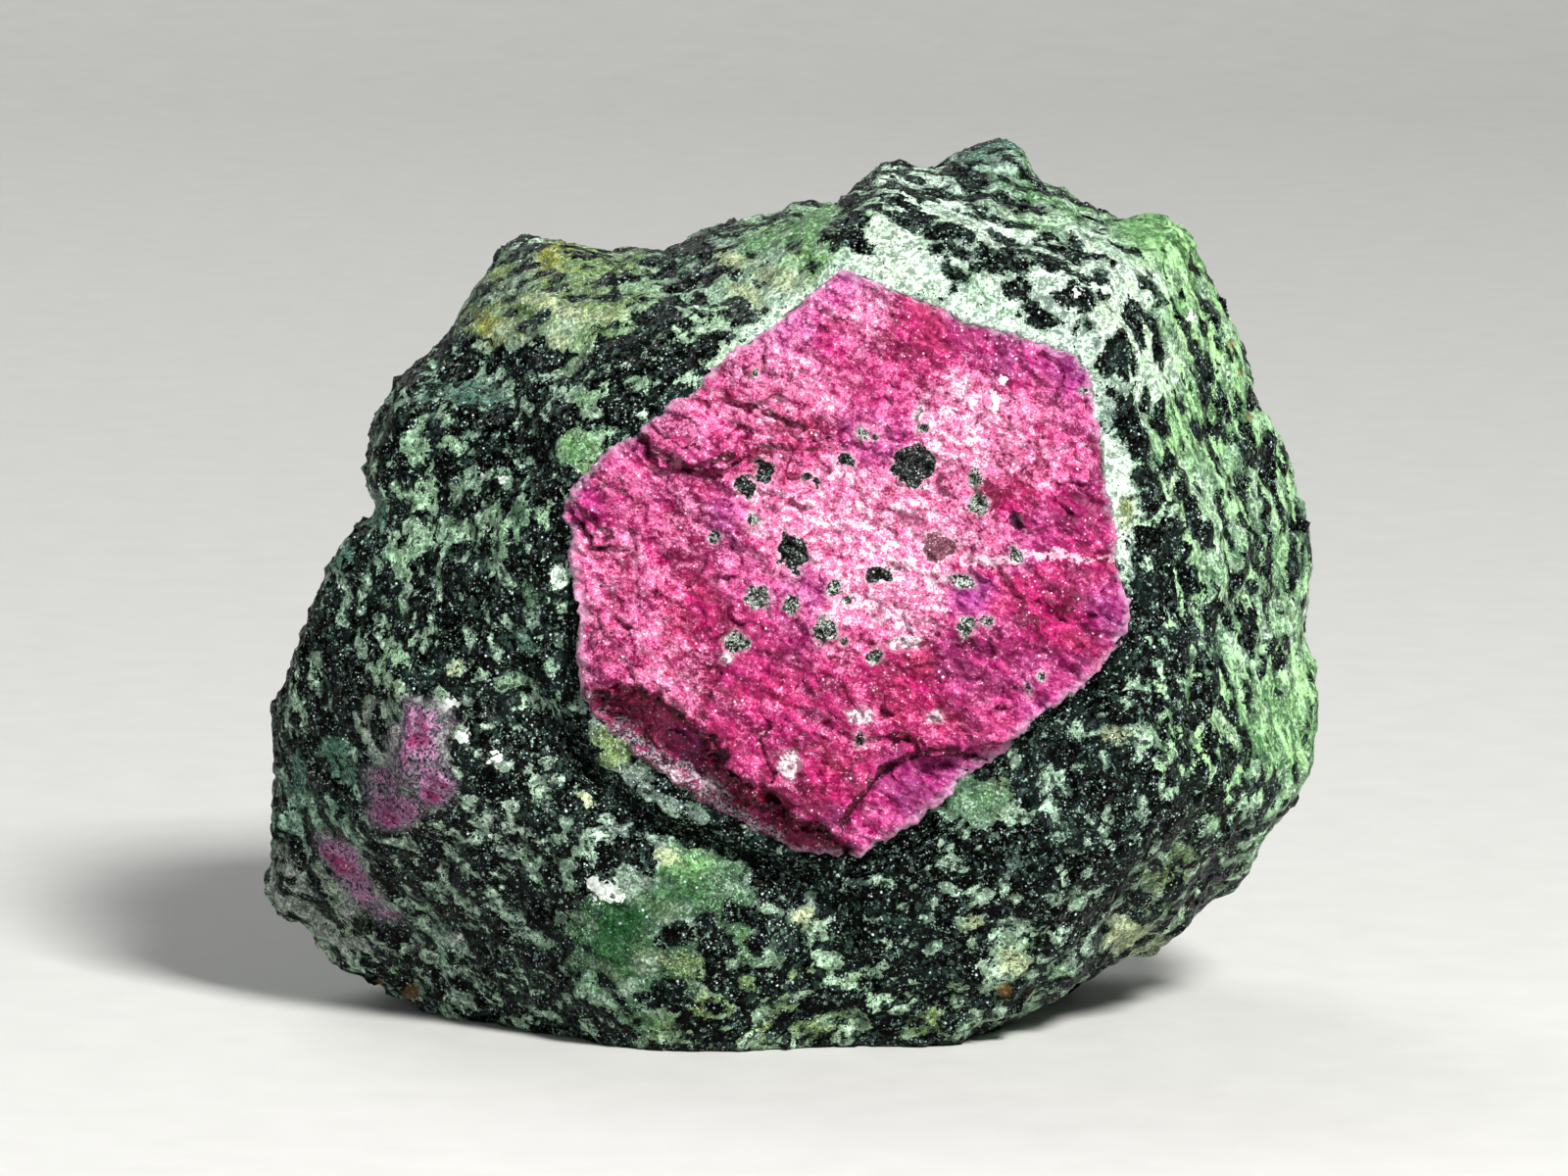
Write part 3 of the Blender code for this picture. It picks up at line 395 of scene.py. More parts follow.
# Cracks in its face, painted dark red as shade, as runs of columns and rows, with a width in pixels.
RUBY_CRACKS = [
    ([(640, 434), (658, 450), (680, 470), (702, 480), (742, 466)], 6.5),
    ([(604, 486), (640, 502)], 3.0),
    ([(584, 512), (604, 530), (622, 548)], 3.5),
    ([(770, 415), (800, 428), (826, 440)], 3.0),
    ([(778, 452), (806, 460), (834, 458)], 3.0),
    ([(860, 842), (868, 824), (887, 801), (899, 786), (918, 775), (937, 767), (960, 765), (996, 771)], 4.0),
    ([(896, 750), (920, 752), (937, 760), (956, 765)], 3.0),
]


# ---------------------------------------------------------------- places


def to_world(points):
    """Face frame millimetres to world metres."""
    return (points @ np.array(LEAN).T + SHIFT) * MM


def to_face(points):
    """World metres to face frame millimetres."""
    return (points / MM - SHIFT) @ np.array(LEAN)


def to_pixels(points):
    """Where the camera sees points of the face frame, as columns and rows of the photograph."""
    scale = PIXELS_PER_MM * CAMERA_DISTANCE / (CAMERA_DISTANCE + points[:, 1])
    columns = PHOTO_WIDTH / 2 + (points[:, 0] - AXIS[0]) * scale
    rows = PHOTO_HEIGHT / 2 - (points[:, 2] - AXIS[1]) * scale
    return np.stack([columns, rows], axis=1)


def screen(colour):
    """A screen colour as the linear values that Blender works in."""
    parts = np.array(colour)
    return np.where(parts <= 0.04045, parts / 12.92, ((parts + 0.055) / 1.055) ** 2.4)


def smooth_step(value):
    """Rises smoothly from 0 to 1 while the value does."""
    value = np.clip(value, 0.0, 1.0)
    return value * value * (3.0 - 2.0 * value)


def noise_at(points, size, shift=0.0):
    """Smooth noise between -1 and 1, with features of the given size."""
    offset = Vector((shift, 2.7 * shift, 5.1 * shift))
    return np.array([noise.noise(Vector(point) + offset) for point in points / size])


def octaves(points, parts):
    """Height of a sum of noises, each with its size, height and shift."""
    return sum(height * noise_at(points, size, shift) for size, height, shift in parts)


def tree_of(points):
    """Finds the nearest of some points."""
    tree = kdtree.KDTree(len(points))
    for index, point in enumerate(points):
        tree.insert(point, index)
    tree.balance()
    return tree


# ---------------------------------------------------------------- meshes


def read_mesh(mesh):
    """Vertices and normals of a mesh as arrays."""
    points = np.zeros((len(mesh.vertices), 3))
    normals = np.zeros_like(points)
    mesh.vertices.foreach_get("co", points.ravel())
    mesh.vertices.foreach_get("normal", normals.ravel())
    return points, normals


def write_points(mesh, points):
    """Moves a mesh's vertices to the points."""
    mesh.vertices.foreach_set("co", points.ravel())
    mesh.update()


def add_field(mesh, name, values):
    """Stores one number, or one colour, for each vertex."""
    if values.ndim == 1:
        field = mesh.attributes.new(name, "FLOAT", "POINT")
        field.data.foreach_set("value", values.astype(np.float32))
        return
    field = mesh.attributes.new(name, "FLOAT_COLOR", "POINT")
    rgba = np.ones((len(values), 4), dtype=np.float32)
    rgba[:, :3] = values
    field.data.foreach_set("color", rgba.ravel())


def relax(mesh, points, rounds, share=0.5):
    """Moves each vertex towards the mean of its neighbours."""
    edges = np.zeros(len(mesh.edges) * 2, dtype=np.int64)
    mesh.edges.foreach_get("vertices", edges)
    start, end = edges.reshape(-1, 2).T
    count = np.bincount(start, minlength=len(points)) + np.bincount(end, minlength=len(points))
    for _ in range(rounds):
        total = np.zeros_like(points)
        np.add.at(total, start, points[end])
        np.add.at(total, end, points[start])
        points = points + share * (total / count[:, None] - points)
    return points


def new_piece(name, mesh, material):
    """An object that rides on the stone, smooth shaded."""
    piece = bpy.data.objects.new(name, mesh)
    bpy.context.scene.collection.objects.link(piece)
    mesh.materials.clear()
    mesh.materials.append(material)
    mesh.polygons.foreach_set("use_smooth", np.ones(len(mesh.polygons), dtype=bool))
    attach(piece, "root")
    return piece


def applied(obj):
    """The mesh that an object's modifiers make, in place of the object."""
    graph = bpy.context.evaluated_depsgraph_get()
    mesh = bpy.data.meshes.new_from_object(obj.evaluated_get(graph))
    bpy.data.objects.remove(obj, do_unlink=True)
    return mesh


def make_skin():
    """One even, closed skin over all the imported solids, in the face frame."""
    joined = bmesh.new()
    for name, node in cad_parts.items():
        solid = bmesh.new()
        solid.from_mesh(node.data)
        places = to_face(np.array([vert.co for vert in solid.verts]))
        if name != "zoisite_matrix":
            middle = places.mean(axis=0)
            widening = 1.0 + SEAM_COVER / np.abs(places - middle).max()
            places = middle + (places - middle) * np.array([widening, 1.0, widening])
        for vert, place in zip(solid.verts, places):
            vert.co = place
        mesh = bpy.data.meshes.new(name)
        solid.to_mesh(mesh)
        solid.free()
        joined.from_mesh(mesh)
        bpy.data.meshes.remove(mesh)
    mesh = bpy.data.meshes.new("skin")
    joined.to_mesh(mesh)
    joined.free()
    skin = bpy.data.objects.new("skin", mesh)
    bpy.context.scene.collection.objects.link(skin)
    remesh = skin.modifiers.new("even", "REMESH")
    remesh.mode = "VOXEL"
    remesh.voxel_size = SKIN_VOXEL
    made = applied(skin)
    keep_largest(made)
    return made


def drop_loose(editor):
    """Deletes the vertices that no face uses."""
    loose = [vert for vert in editor.verts if not vert.link_faces]
    bmesh.ops.delete(editor, geom=loose, context="VERTS")


def keep_largest(mesh):
    """Deletes all but the largest connected part, such as shells left inside seams."""
    editor = bmesh.new()
    editor.from_mesh(mesh)
    unseen = set(editor.verts)
    parts = []
    while unseen:
        waiting = [unseen.pop()]
        part = set(waiting)
        while waiting:
            vert = waiting.pop()
            new = {edge.other_vert(vert) for edge in vert.link_edges} & unseen
            unseen -= new
            part |= new
            waiting.extend(new)
        parts.append(part)
    parts.sort(key=len)
    for part in parts[:-1]:
        bmesh.ops.delete(editor, geom=list(part), context="VERTS")
    editor.to_mesh(mesh)
    editor.free()


# ---------------------------------------------------------------- fields of the stone


def turned(angle_deg):
    """A direction in the face's plane, anticlockwise from the right, as columns and rows."""
    angle = np.radians(angle_deg)
    return np.cos(angle), -np.sin(angle)


def oval_depth(pixels, column, row, width, height, turn):
    """How deep inside an oval each pixel place is: 1 in its middle, 0 on its edge."""
    along_column, along_row = turned(turn)
    from_column = pixels[:, 0] - column
    from_row = pixels[:, 1] - row
    along = from_column * along_column + from_row * along_row
    across = from_column * along_row - from_row * along_column
    return 1.0 - np.hypot(along / (width / 2), across / (height / 2))


def zone_values(points, normals, pixels, rng):
    """Ground colour, share of black grains and grain direction of each place on the stone."""
    facing = -normals[:, 1]
    in_front = smooth_step((facing + 0.35) / 0.4)
    total = np.full(len(points), 1e-6)
    ground = np.zeros((len(points), 3))
    black = np.zeros(len(points))
    flow = np.zeros((len(points), 2))

    def add(weight, colour, share, angle):
        """Adds one zone's values, by its weight at each place."""
        nonlocal total, black
        total = total + weight
        ground[:] += weight[:, None] * colour
        black = black + weight * share
        flow[:, 0] += weight * math.cos(2 * math.radians(angle))
        flow[:, 1] += weight * math.sin(2 * math.radians(angle))

    for column, row, radius, name, share, angle in ZONES:
        gap = (pixels[:, 0] - column) ** 2 + (pixels[:, 1] - row) ** 2
        add(in_front * np.exp(-1.6 * gap / radius**2), screen(GROUNDS[name]), share, angle)
    for place, name, share, angle in far_zones(points, normals, rng):
        gap = ((points - place) ** 2).sum(axis=1)
        add((1.0 - in_front) * np.exp(-gap / 5.0**2), screen(GROUNDS[name]), share, angle)
    black = black / total
    black += 0.9 * black * (1.0 - black) * np.maximum(2.0 * black - 0.9, 0.0)
    return ground / total[:, None], black, 0.5 * np.arctan2(flow[:, 1], flow[:, 0])


def far_zones(points, normals, rng):
    """Zones of the sides and back, which the photograph doesn't show, of the front's kinds and sizes."""
    hidden = np.flatnonzero(normals[:, 1] > -0.1)
    places = points[rng.choice(hidden, FAR_COUNT, replace=False)]
    chosen = rng.integers(0, len(FAR_KINDS), len(places))
    angles = [-35.0 + 50.0 * noise.noise(Vector(place) / 30.0) for place in places]
    return [(place, *FAR_KINDS[kind], angle) for place, kind, angle in zip(places, chosen, angles)]


def lay_colour(ground, name, weight):
    """Lays one of the grounds over the stone's colour."""
    ground += weight[:, None] * (screen(GROUNDS[name]) - ground)


def tangents(normal, angle):
    """Two directions in the surface: along the grain, and across it."""
    along = Vector((math.cos(angle), 0.0, math.sin(angle)))
    normal = Vector(normal)
    along = along - normal * along.dot(normal)
    if along.length < 0.2:
        along = normal.orthogonal()
    along.normalize()
    return along, normal.cross(along)


class Cover:
    """Finds the skin's vertices near a place."""

    def __init__(self, points, normals, area):
        self.points = points
        self.normals = normals
        self.area = area
        self.tree = tree_of(points)

    def near(self, place, radius):
        """Numbers of the vertices within a radius of a place."""
        return np.array([index for _, index, _ in self.tree.find_range(place, radius)], dtype=np.int64)


def lay_grain(field, cover, index, angle, half_length, half_width, rng):
    """Adds one blocky grain to a field of depths in millimetres, which are above 0 inside a grain."""
    place = cover.points[index]
    near = cover.near(place, 1.5 * half_length + 0.6)
    along, across = tangents(cover.normals[index], angle)
    offset = cover.points[near] - place
    u = offset @ np.array(along) / half_length
    v = offset @ np.array(across) / half_width
    around = np.arctan2(v, u)
    bumps = 1.0
    for waves, height in ((2, 0.16), (3, 0.14), (5, 0.08)):
        bumps = bumps + height * np.sin(waves * around + rng.uniform(0, 6.28))
    blockiness = rng.uniform(2.0, 3.4)
    reach = (np.abs(u) ** blockiness + np.abs(v) ** blockiness) ** (1.0 / blockiness)
    depth = (bumps - reach) * min(half_length, half_width)
    field[near] = np.maximum(field[near], depth)


def scatter(field, cover, share, flow, sizes, stretch, spacing, count, rng):
    """Lays random grains over the skin, enough to cover the share of it that each place asks for."""
    cells = {}
    cell = sizes[1]
    usual = sizes[0] + 0.4 * (sizes[1] - sizes[0])
    grain_area = 1.7 * usual**2 * (1.0 + stretch)
    odds = -np.log(1.0 - np.minimum(share, 0.95)) * cover.area / (grain_area * count)
    for index in rng.permutation(len(cover.points))[:count]:
        wanted = share[index]
        if rng.uniform() > odds[index]:
            continue
        size = sizes[0] + (sizes[1] - sizes[0]) * rng.uniform() ** 1.6
        place = cover.points[index]
        key = tuple((place // cell).astype(int))
        gap = spacing * size * (1.25 - wanted)
        if too_close(cells, key, place, gap):
            continue
        cells.setdefault(key, []).append(place)
        turn = flow[index] + rng.normal(0.0, 0.35)
        lay_grain(field, cover, index, turn, size * rng.uniform(1.0, stretch), size, rng)


def too_close(cells, key, place, gap):
    """Whether a grain in this cell or a neighbouring one lies within the gap."""
    x, y, z = key
    for dx, dy, dz in itertools.product((-1, 0, 1), repeat=3):
        for other in cells.get((x + dx, y + dy, z + dz), ()):
            if np.abs(other - place).max() < gap:
                return True
    return False


def distance_to_run(places, run):
    """Distance of each pixel place from a run of points."""
    nearest = np.full(len(places), np.inf)
    for start, end in zip(run[:-1], run[1:]):
        start = np.array(start, dtype=float)
        along = np.array(end, dtype=float) - start
        share = np.clip((places - start) @ along / (along @ along), 0.0, 1.0)
        gap = places - start - share[:, None] * along
        nearest = np.minimum(nearest, np.hypot(gap[:, 0], gap[:, 1]))
    return nearest


def ruby_reach(angle):
    """The ruby outline's distance from its middle in each direction."""
    outline = np.array(RUBY_OUTLINE) - np.array(RUBY_MIDDLE)
    directions = np.arctan2(outline[:, 1], outline[:, 0])
    return np.interp(angle, directions, np.hypot(outline[:, 0], outline[:, 1]), period=2 * math.pi)


def outside_ruby(points):
    """Distance outside the ruby's outline, below 0 inside it."""
    across = points[:, 0] - RUBY_MIDDLE[0]
    up = points[:, 2] - RUBY_MIDDLE[1]
    return np.hypot(across, up) - ruby_reach(np.arctan2(up, across))


def chips(points, spacing, tilt, rng):
    """Height of small broken planes all over a surface, each with its own tilt."""
    count = int(len(points) * (SKIN_VOXEL / spacing) ** 2)
    seeds = points[rng.permutation(len(points))[:count]]
    tree = tree_of(seeds)
    nearest = np.array([tree.find(point)[1] for point in points])
    tilts = rng.normal(0.0, tilt, (len(seeds), 3))
    return ((points - seeds[nearest]) * tilts[nearest]).sum(axis=1)


def stone_relief(points, grains, black, rng):
    """Height of the stone's fine relief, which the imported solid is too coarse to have."""
    size, depth, shift = STONE_FOLDS
    relief = octaves(points, STONE_LUMPS) - depth * np.abs(noise_at(points, size, shift))
    relief += chips(points, STONE_CHIP, STONE_CHIP_TILT, rng)
    relief += GRAIN_RISE * smooth_step(grains / 0.5) * (black - 0.5)
    relief -= GRAIN_RIM * smooth_step(1.0 - np.abs(grains) / 0.35)
    return relief


def grain_depths(cover, pixels, shown, black, flow, rng):
    """Depth of each place in the black grains, the drawn ones first and the random ones between them."""
    grains = np.full(len(pixels), OUTSIDE)
    for column, row, width, height, turn in GRAINS:
        index = surface_vertex(pixels, shown, column, row)
        half_length = width / 2 / PIXELS_PER_MM
        half_width = height / 2 / PIXELS_PER_MM
        lay_grain(grains, cover, index, math.radians(turn), half_length, half_width, rng)
    for share, *kind in BLACK_GRAINS:
        scatter(grains, cover, black * share, flow, *kind, rng)
    return grains


def lay_minerals(ground, grains, cover, black, flow, rng):
    """Lays pale crystals over the black places, and patches of other zoisite over the green ones."""
    pale = np.full(len(black), OUTSIDE)
    share, *kind = PALE_GRAINS
    scatter(pale, cover, share * black, flow, *kind, rng)
    pale = smooth_step(0.5 + pale / 0.35) * black
    lay_colour(ground, "seam", 0.9 * pale)
    grains -= 1.3 * pale
    for name, size, strength in ZOISITE_PATCHES:
        patches = np.full(len(black), OUTSIDE)
        share = np.full(len(black), 0.22)
        scatter(patches, cover, share, flow, (0.4 * size, 1.3 * size), 2.6, 1.0, 12000, rng)
        weight = strength * smooth_step(0.5 + patches / 0.6) * (1.1 - black) * smooth_step(black / 0.3)
        lay_colour(ground, name, weight)


def lay_blotches(ground, grains, points, pixels, shown):
    """Lays the front's blotches of colour over the stone."""
    ragged = octaves(points, BLOTCH_EDGES)
    for *oval, name in BLOTCHES:
        weight = smooth_step(0.45 + 1.4 * (oval_depth(pixels, *oval) + ragged)) * shown
        lay_colour(ground, name, 0.85 * weight)
        grains -= 0.6 * weight


def spots(pixels, shown, table, reach):
    """Round spots of the front, from 0 to 1."""
    spot = np.zeros(len(pixels))
    for column, row, radius in table:
        gap = np.hypot(pixels[:, 0] - column, pixels[:, 1] - row)
        spot = np.maximum(spot, smooth_step(reach - gap / radius) * shown)
    return spot


def fit_to_ruby(moved, points, outside, upper_side):
    """Brings the stone flush with the large ruby along its upper edge, and keeps it behind its face."""
    level, _ = stepped_level(points[:, 0], points[:, 2])
    flush = upper_side * np.exp(-((np.maximum(outside, 0.0) / 2.4) ** 2)) * (points[:, 1] < -8.0)
    moved[:, 1] += flush * np.minimum(-level - 0.05 - moved[:, 1], 0.0)
    under_ruby = (outside < 0.2) & (points[:, 1] < -5.0)
    behind = -level - 0.1 + 1.8 * smooth_step((0.2 - outside) / 0.8)
    moved[:, 1] = np.where(under_ruby, np.maximum(moved[:, 1], behind), moved[:, 1])


def make_stone():
    """The stone with its relief and mineral fields."""
    rng = np.random.default_rng(SEED)
    mesh = make_skin()
    points, _ = read_mesh(mesh)
    write_points(mesh, relax(mesh, points, SKIN_ROUNDS))
    points, normals = read_mesh(mesh)
    pixels = to_pixels(points)
    shown = -normals[:, 1] > 0.02
    cover = Cover(points, normals, sum(polygon.area for polygon in mesh.polygons))

    ground, black, flow = zone_values(points, normals, pixels, rng)
    grains = grain_depths(cover, pixels, shown, black, flow, rng)
    lay_minerals(ground, grains, cover, black, flow, rng)
    lay_blotches(ground, grains, points, pixels, shown)

    outside = outside_ruby(points)
    near_ruby = smooth_step(1.0 - outside / 1.6) * (outside > -2.0) * shown
    angle = np.degrees(np.arctan2(points[:, 2] - RUBY_MIDDLE[1], points[:, 0] - RUBY_MIDDLE[0]))
    upper_side = smooth_step((angle + 18.0) / 20.0) * smooth_step((160.0 - angle) / 30.0)
    pale_side = upper_side * smooth_step((132.0 - angle) / 24.0)
    lay_colour(ground, "mint", 0.75 * near_ruby * pale_side)
    grains -= 0.8 * near_ruby * pale_side

    pink = np.zeros(len(points))
    for *oval, strength in RUBY_PATCHES:
        pink = np.maximum(pink, strength * smooth_step(0.55 + oval_depth(pixels, *oval)) * shown)
    crevice = np.zeros(len(points))
    for run, width, depth in CREVICES:
        gap = distance_to_run(pixels, run) / width
        crevice = np.maximum(crevice, depth * np.exp(-(gap**2)) * shown)
    # Painted shade: the crevices are filled with the black grains' colour.
    grains += 1.5 * crevice

    height = stone_relief(points, grains, black, rng)
    moved = points + height[:, None] * normals
    fit_to_ruby(moved, points, outside, upper_side)
    moved[:, 1] += crevice
    world = np.clip(to_world(moved), cad_box[0], cad_box[1])
    base = to_world(points)[:, 2] < BASE_HEIGHT * MM
    world[:, 2] = np.where(base, np.clip(world[:, 2], 0.0, BASE_RELIEF * MM), np.maximum(world[:, 2], 0.0))
    write_points(mesh, world)

    columns, rows = pixels.T
    fields = {
        "place": points,
        "ground": ground,
        "grains": grains,
        "black": black,
        "stain": spots(pixels, shown, STAINS, 1.4),
        "glint": spots(pixels, shown, GLINTS, 1.5),
        "pink": pink,
        "slab": smooth_step((columns - 1130.0) / 70.0) * smooth_step((900.0 - rows) / 120.0),
        "strata": smooth_step((600.0 - columns) / 90.0) * smooth_step((rows - 730.0) / 70.0),
    }
    for name, values in fields.items():
        add_field(mesh, name, values)
    return new_piece("stone_skin", mesh, stone_material())


def surface_vertex(pixels, shown, column, row):
    """The shown vertex nearest to a pixel."""
    gap = np.hypot(pixels[:, 0] - column, pixels[:, 1] - row) + np.where(shown, 0.0, 1e6)
    return int(np.argmin(gap))


# ---------------------------------------------------------------- the ruby's face


def step_drop(across, up, edge, drop, width, reach):
    """How much a step lowers each point, and where its scarp is, from 0 to 1.

    The drop fades further off and past the edge's ends.
    """
    nearest = np.full(across.shape, np.inf)
    straight_off = np.zeros(across.shape)
    low_side = np.zeros(across.shape)
    past_ends = np.zeros(across.shape)
    same = 1e-6
    last = len(edge) - 2
    for index in range(last + 1):
        start = np.array(edge[index])
        along = np.array(edge[index + 1]) - start
        length = np.hypot(*along)
        along = along / length
        offset_x = across - start[0]
        offset_z = up - start[1]
        position = offset_x * along[0] + offset_z * along[1]
        on_right = offset_x * along[1] - offset_z * along[0]
        past = position - np.clip(position, 0.0, length)
        distance = np.hypot(on_right, past)
        tied = np.abs(distance - nearest) < same
        closer = (distance < nearest - same) | (tied & (np.abs(on_right) > np.abs(straight_off)))
        at_open_end = ((past < 0) & (index == 0)) | ((past > 0) & (index == last))
        signed = np.where(at_open_end, on_right, np.sign(on_right) * distance)
        nearest = np.where(closer, distance, nearest)
        straight_off = np.where(closer, on_right, straight_off)
        low_side = np.where(closer, signed, low_side)
        past_ends = np.where(closer, np.where(at_open_end, past, 0.0), past_ends)
    rise_back = np.exp(-np.maximum(low_side - width, 0.0) / reach)
    end_fade = np.exp(-((past_ends / 2.5) ** 2))
    share = smooth_step(low_side / width)
    return drop * share * rise_back * end_fade, 4.0 * share * (1.0 - share) * end_fade


def grain_frame(across, up):
    """Coordinates along and across the ruby's ribs."""
    turn = math.radians(RUBY_GRAIN_DEG)
    return across * math.cos(turn) + up * math.sin(turn), up * math.cos(turn) - across * math.sin(turn)


def facets(along, over, length, width, lift, tilt, rng):
    """Height of broken cleavage facets: each is a small plane with its own level and tilt."""
    low = (along.min() - length, over.min() - width)
    columns = int((along.max() - low[0]) / length) + 2
    rows = int((over.max() - low[1]) / width) + 2
    grid = np.stack(np.meshgrid(np.arange(columns), np.arange(rows)), axis=-1).reshape(-1, 2)
    seeds = grid + rng.uniform(-0.45, 0.45, grid.shape)
    tree = tree_of(np.column_stack([seeds, np.zeros(len(seeds))]))
    u = (along - low[0]) / length
    v = (over - low[1]) / width
    cell = np.array([tree.find((one, other, 0.0))[1] for one, other in zip(u, v)])
    levels = rng.uniform(-lift, lift, len(seeds))
    tilts = rng.normal(0.0, tilt, (len(seeds), 2))
    slope_u = tilts[cell, 0] * (u - seeds[cell, 0]) * length
    slope_v = tilts[cell, 1] * (v - seeds[cell, 1]) * width
    return levels[cell] + slope_u + slope_v


def stepped_level(across, up):
    """How far the ruby's face stands towards the viewer, and where its scarps are, from 0 to 1."""
    flat = np.stack([across, np.zeros(len(across)), up], axis=1)
    wander = octaves(flat, STEP_WANDER)
    from_middle = np.hypot(across - RUBY_MIDDLE[0], up - RUBY_MIDDLE[1]) / RUBY_HALF_WIDTH
    level = RUBY_LEVEL + RUBY_CROWN * (1.0 - from_middle**2)
    scarp = np.zeros(len(across))
    for edge, drop, width, reach in RUBY_STEPS:
        fall, slope = step_drop(across + wander, up + wander, edge, drop, width, reach)
        level = level - fall
        scarp = np.maximum(scarp, slope * min(1.0, drop))
    return level, scarp


def ruby_level(across, up, rng):
    """The level of the ruby's face with its ribs and cleavage facets, and its scarps."""
    flat = np.stack([across, np.zeros(len(across)), up], axis=1)
    level, scarp = stepped_level(across, up)
    along, over = grain_frame(across, up)
    for length, width, height, shift in RUBY_RIBS:
        ribs = np.stack([along / length, over / width, np.full(len(along), shift)], axis=1)
        level += height * noise_at(ribs, 1.0)
    bent = over + 0.5 * noise_at(flat, 2.4, 12.0)
    for kind in RUBY_FACETS:
        level += facets(along, bent, *kind, rng)
    level += 0.09 * noise_at(flat, 0.45, 14.0)
    level += scarp * octaves(flat, SCARP_LUMPS)
    level += scarp * facets(along, bent, *SCARP_FACETS, rng)
    return level, scarp


def make_ruby():
    """The large ruby: a fine face over the crystal, with sides that go down into the stone."""
    rng = np.random.default_rng(SEED + 1)
    columns = np.arange(RUBY_MIDDLE[0] - RUBY_HALF, RUBY_MIDDLE[0] + RUBY_HALF, RUBY_SPACING)
    rows = np.arange(RUBY_MIDDLE[1] - RUBY_HALF, RUBY_MIDDLE[1] + RUBY_HALF, RUBY_SPACING)
    across, up = (part.ravel() for part in np.meshgrid(columns, rows))
    flat = np.stack([across, np.zeros(len(across)), up], axis=1)
    inside = RUBY_OVERLAP - outside_ruby(flat) - octaves(flat, RUBY_EDGE)
    kept = inside > 0.0
    number = np.full(len(across), -1)
    number[kept] = np.arange(kept.sum())
    grid = number.reshape(len(rows), len(columns))
    corners = np.stack([grid[:-1, :-1], grid[:-1, 1:], grid[1:, 1:], grid[1:, :-1]], axis=-1).reshape(-1, 4)
    faces = corners[(corners >= 0).all(axis=1)]

    across, up, inside = across[kept], up[kept], inside[kept]
    on_rim = np.bincount(faces.ravel(), minlength=len(across)) < 4
    outwards = np.stack([across - RUBY_MIDDLE[0], up - RUBY_MIDDLE[1]])
    outwards /= np.hypot(*outwards)
    across = across + np.where(on_rim, inside, 0.0) * outwards[0]
    up = up + np.where(on_rim, inside, 0.0) * outwards[1]
    inside = np.where(on_rim, 0.0, inside)
    level, scarp = ruby_level(across, up, rng)
    level -= 0.45 * np.clip(1.0 - inside / 0.7, 0.0, 1.0) ** 2
    points = np.stack([across, -level, up], axis=1)
    pixels = to_pixels(points)
    fields, dent = ruby_fields(points, pixels, inside, scarp)
    points[:, 1] += dent

    mesh = bpy.data.meshes.new("ruby_face")
    world = np.clip(to_world(points), cad_box[0], cad_box[1])
    mesh.from_pydata(world.tolist(), [], faces.tolist())
    for name, values in fields.items():
        add_field(mesh, name, values)
    sink_rim(mesh)
    return new_piece("ruby_face", mesh, ruby_material())


def sink_rim(mesh):
    """Runs the face's open rim down into the stone, as the crystal's sides."""
    editor = bmesh.new()
    editor.from_mesh(mesh)
    drop_loose(editor)
    inwards = LEAN @ Vector((0.0, 1.0, 0.0))
    for depth in RUBY_SIDES:
        rim = [edge for edge in editor.edges if edge.is_boundary]
        grown = bmesh.ops.extrude_edge_only(editor, edges=rim)
        for vert in (item for item in grown["geom"] if isinstance(item, bmesh.types.BMVert)):
            vert.co += inwards * depth * MM
    rim = [edge for edge in editor.edges if edge.is_boundary]
    bmesh.ops.holes_fill(editor, edges=rim, sides=0)
    bmesh.ops.recalc_face_normals(editor, faces=editor.faces)
    editor.to_mesh(mesh)
    editor.free()


def ruby_fields(points, pixels, inside, scarp):
    """Mineral fields of the ruby's face, the crack, scarp and bench masks where shade is painted, and how
    far its grains dent it.
    """
    total = np.full(len(points), 1e-6)
    blend = np.zeros((len(points), 3))
    for column, row, radius, *values in RUBY_ZONES:
        gap = (pixels[:, 0] - column) ** 2 + (pixels[:, 1] - row) ** 2
        weight = np.exp(-1.8 * gap / radius**2)
        total += weight
        blend += weight[:, None] * np.array(values)
    frost, violet, depth = (blend / total[:, None]).T

    kinds = {kind: np.full(len(points), -2.0) for *_, kind in RUBY_GRAINS}
    for index, (column, row, width, height, turn, kind) in enumerate(RUBY_GRAINS):
        near = np.hypot(pixels[:, 0] - column, pixels[:, 1] - row) < width + height
        ragged = octaves(points[near], [(0.9, 0.45, 40.0 + index), (0.4, 0.30, 41.0)])
        size = min(width, height) / 2 / PIXELS_PER_MM
        inner = (oval_depth(pixels[near], column, row, width, height, turn) + ragged) * size
        kinds[kind][near] = np.maximum(kinds[kind][near], inner)

    vein = np.zeros(len(points))
    wander = octaves(points, VEIN_WANDER)
    for run, width, strength in RUBY_VEINS:
        gap = distance_to_run(pixels, run) + wander
        vein = np.maximum(vein, strength * smooth_step(1.5 - np.abs(gap) / width))

    crack = np.zeros(len(points))
    wander = octaves(points, CRACK_WANDER)
    for run, width in RUBY_CRACKS:
        gap = distance_to_run(pixels, run) + wander
        crack = np.maximum(crack, smooth_step(1.4 - np.abs(gap) / width))

    edge, _, width, reach = RUBY_STEPS[0]
    bench, _ = step_drop(points[:, 0], points[:, 2], edge, 1.0, width, reach)

    dent = CRACK_DEPTH * crack
    for name in ("black", "mottled"):
        dent = dent + PIT_DEPTH * smooth_step(kinds[name] / 0.25)
    fields = {"frost": frost, "violet": violet, "depth": depth, "vein": vein, "crack": crack}
    fields |= {"scarp": scarp, "bench": bench, "inside": inside}
    return fields | kinds, dent


# ---------------------------------------------------------------- small rubies


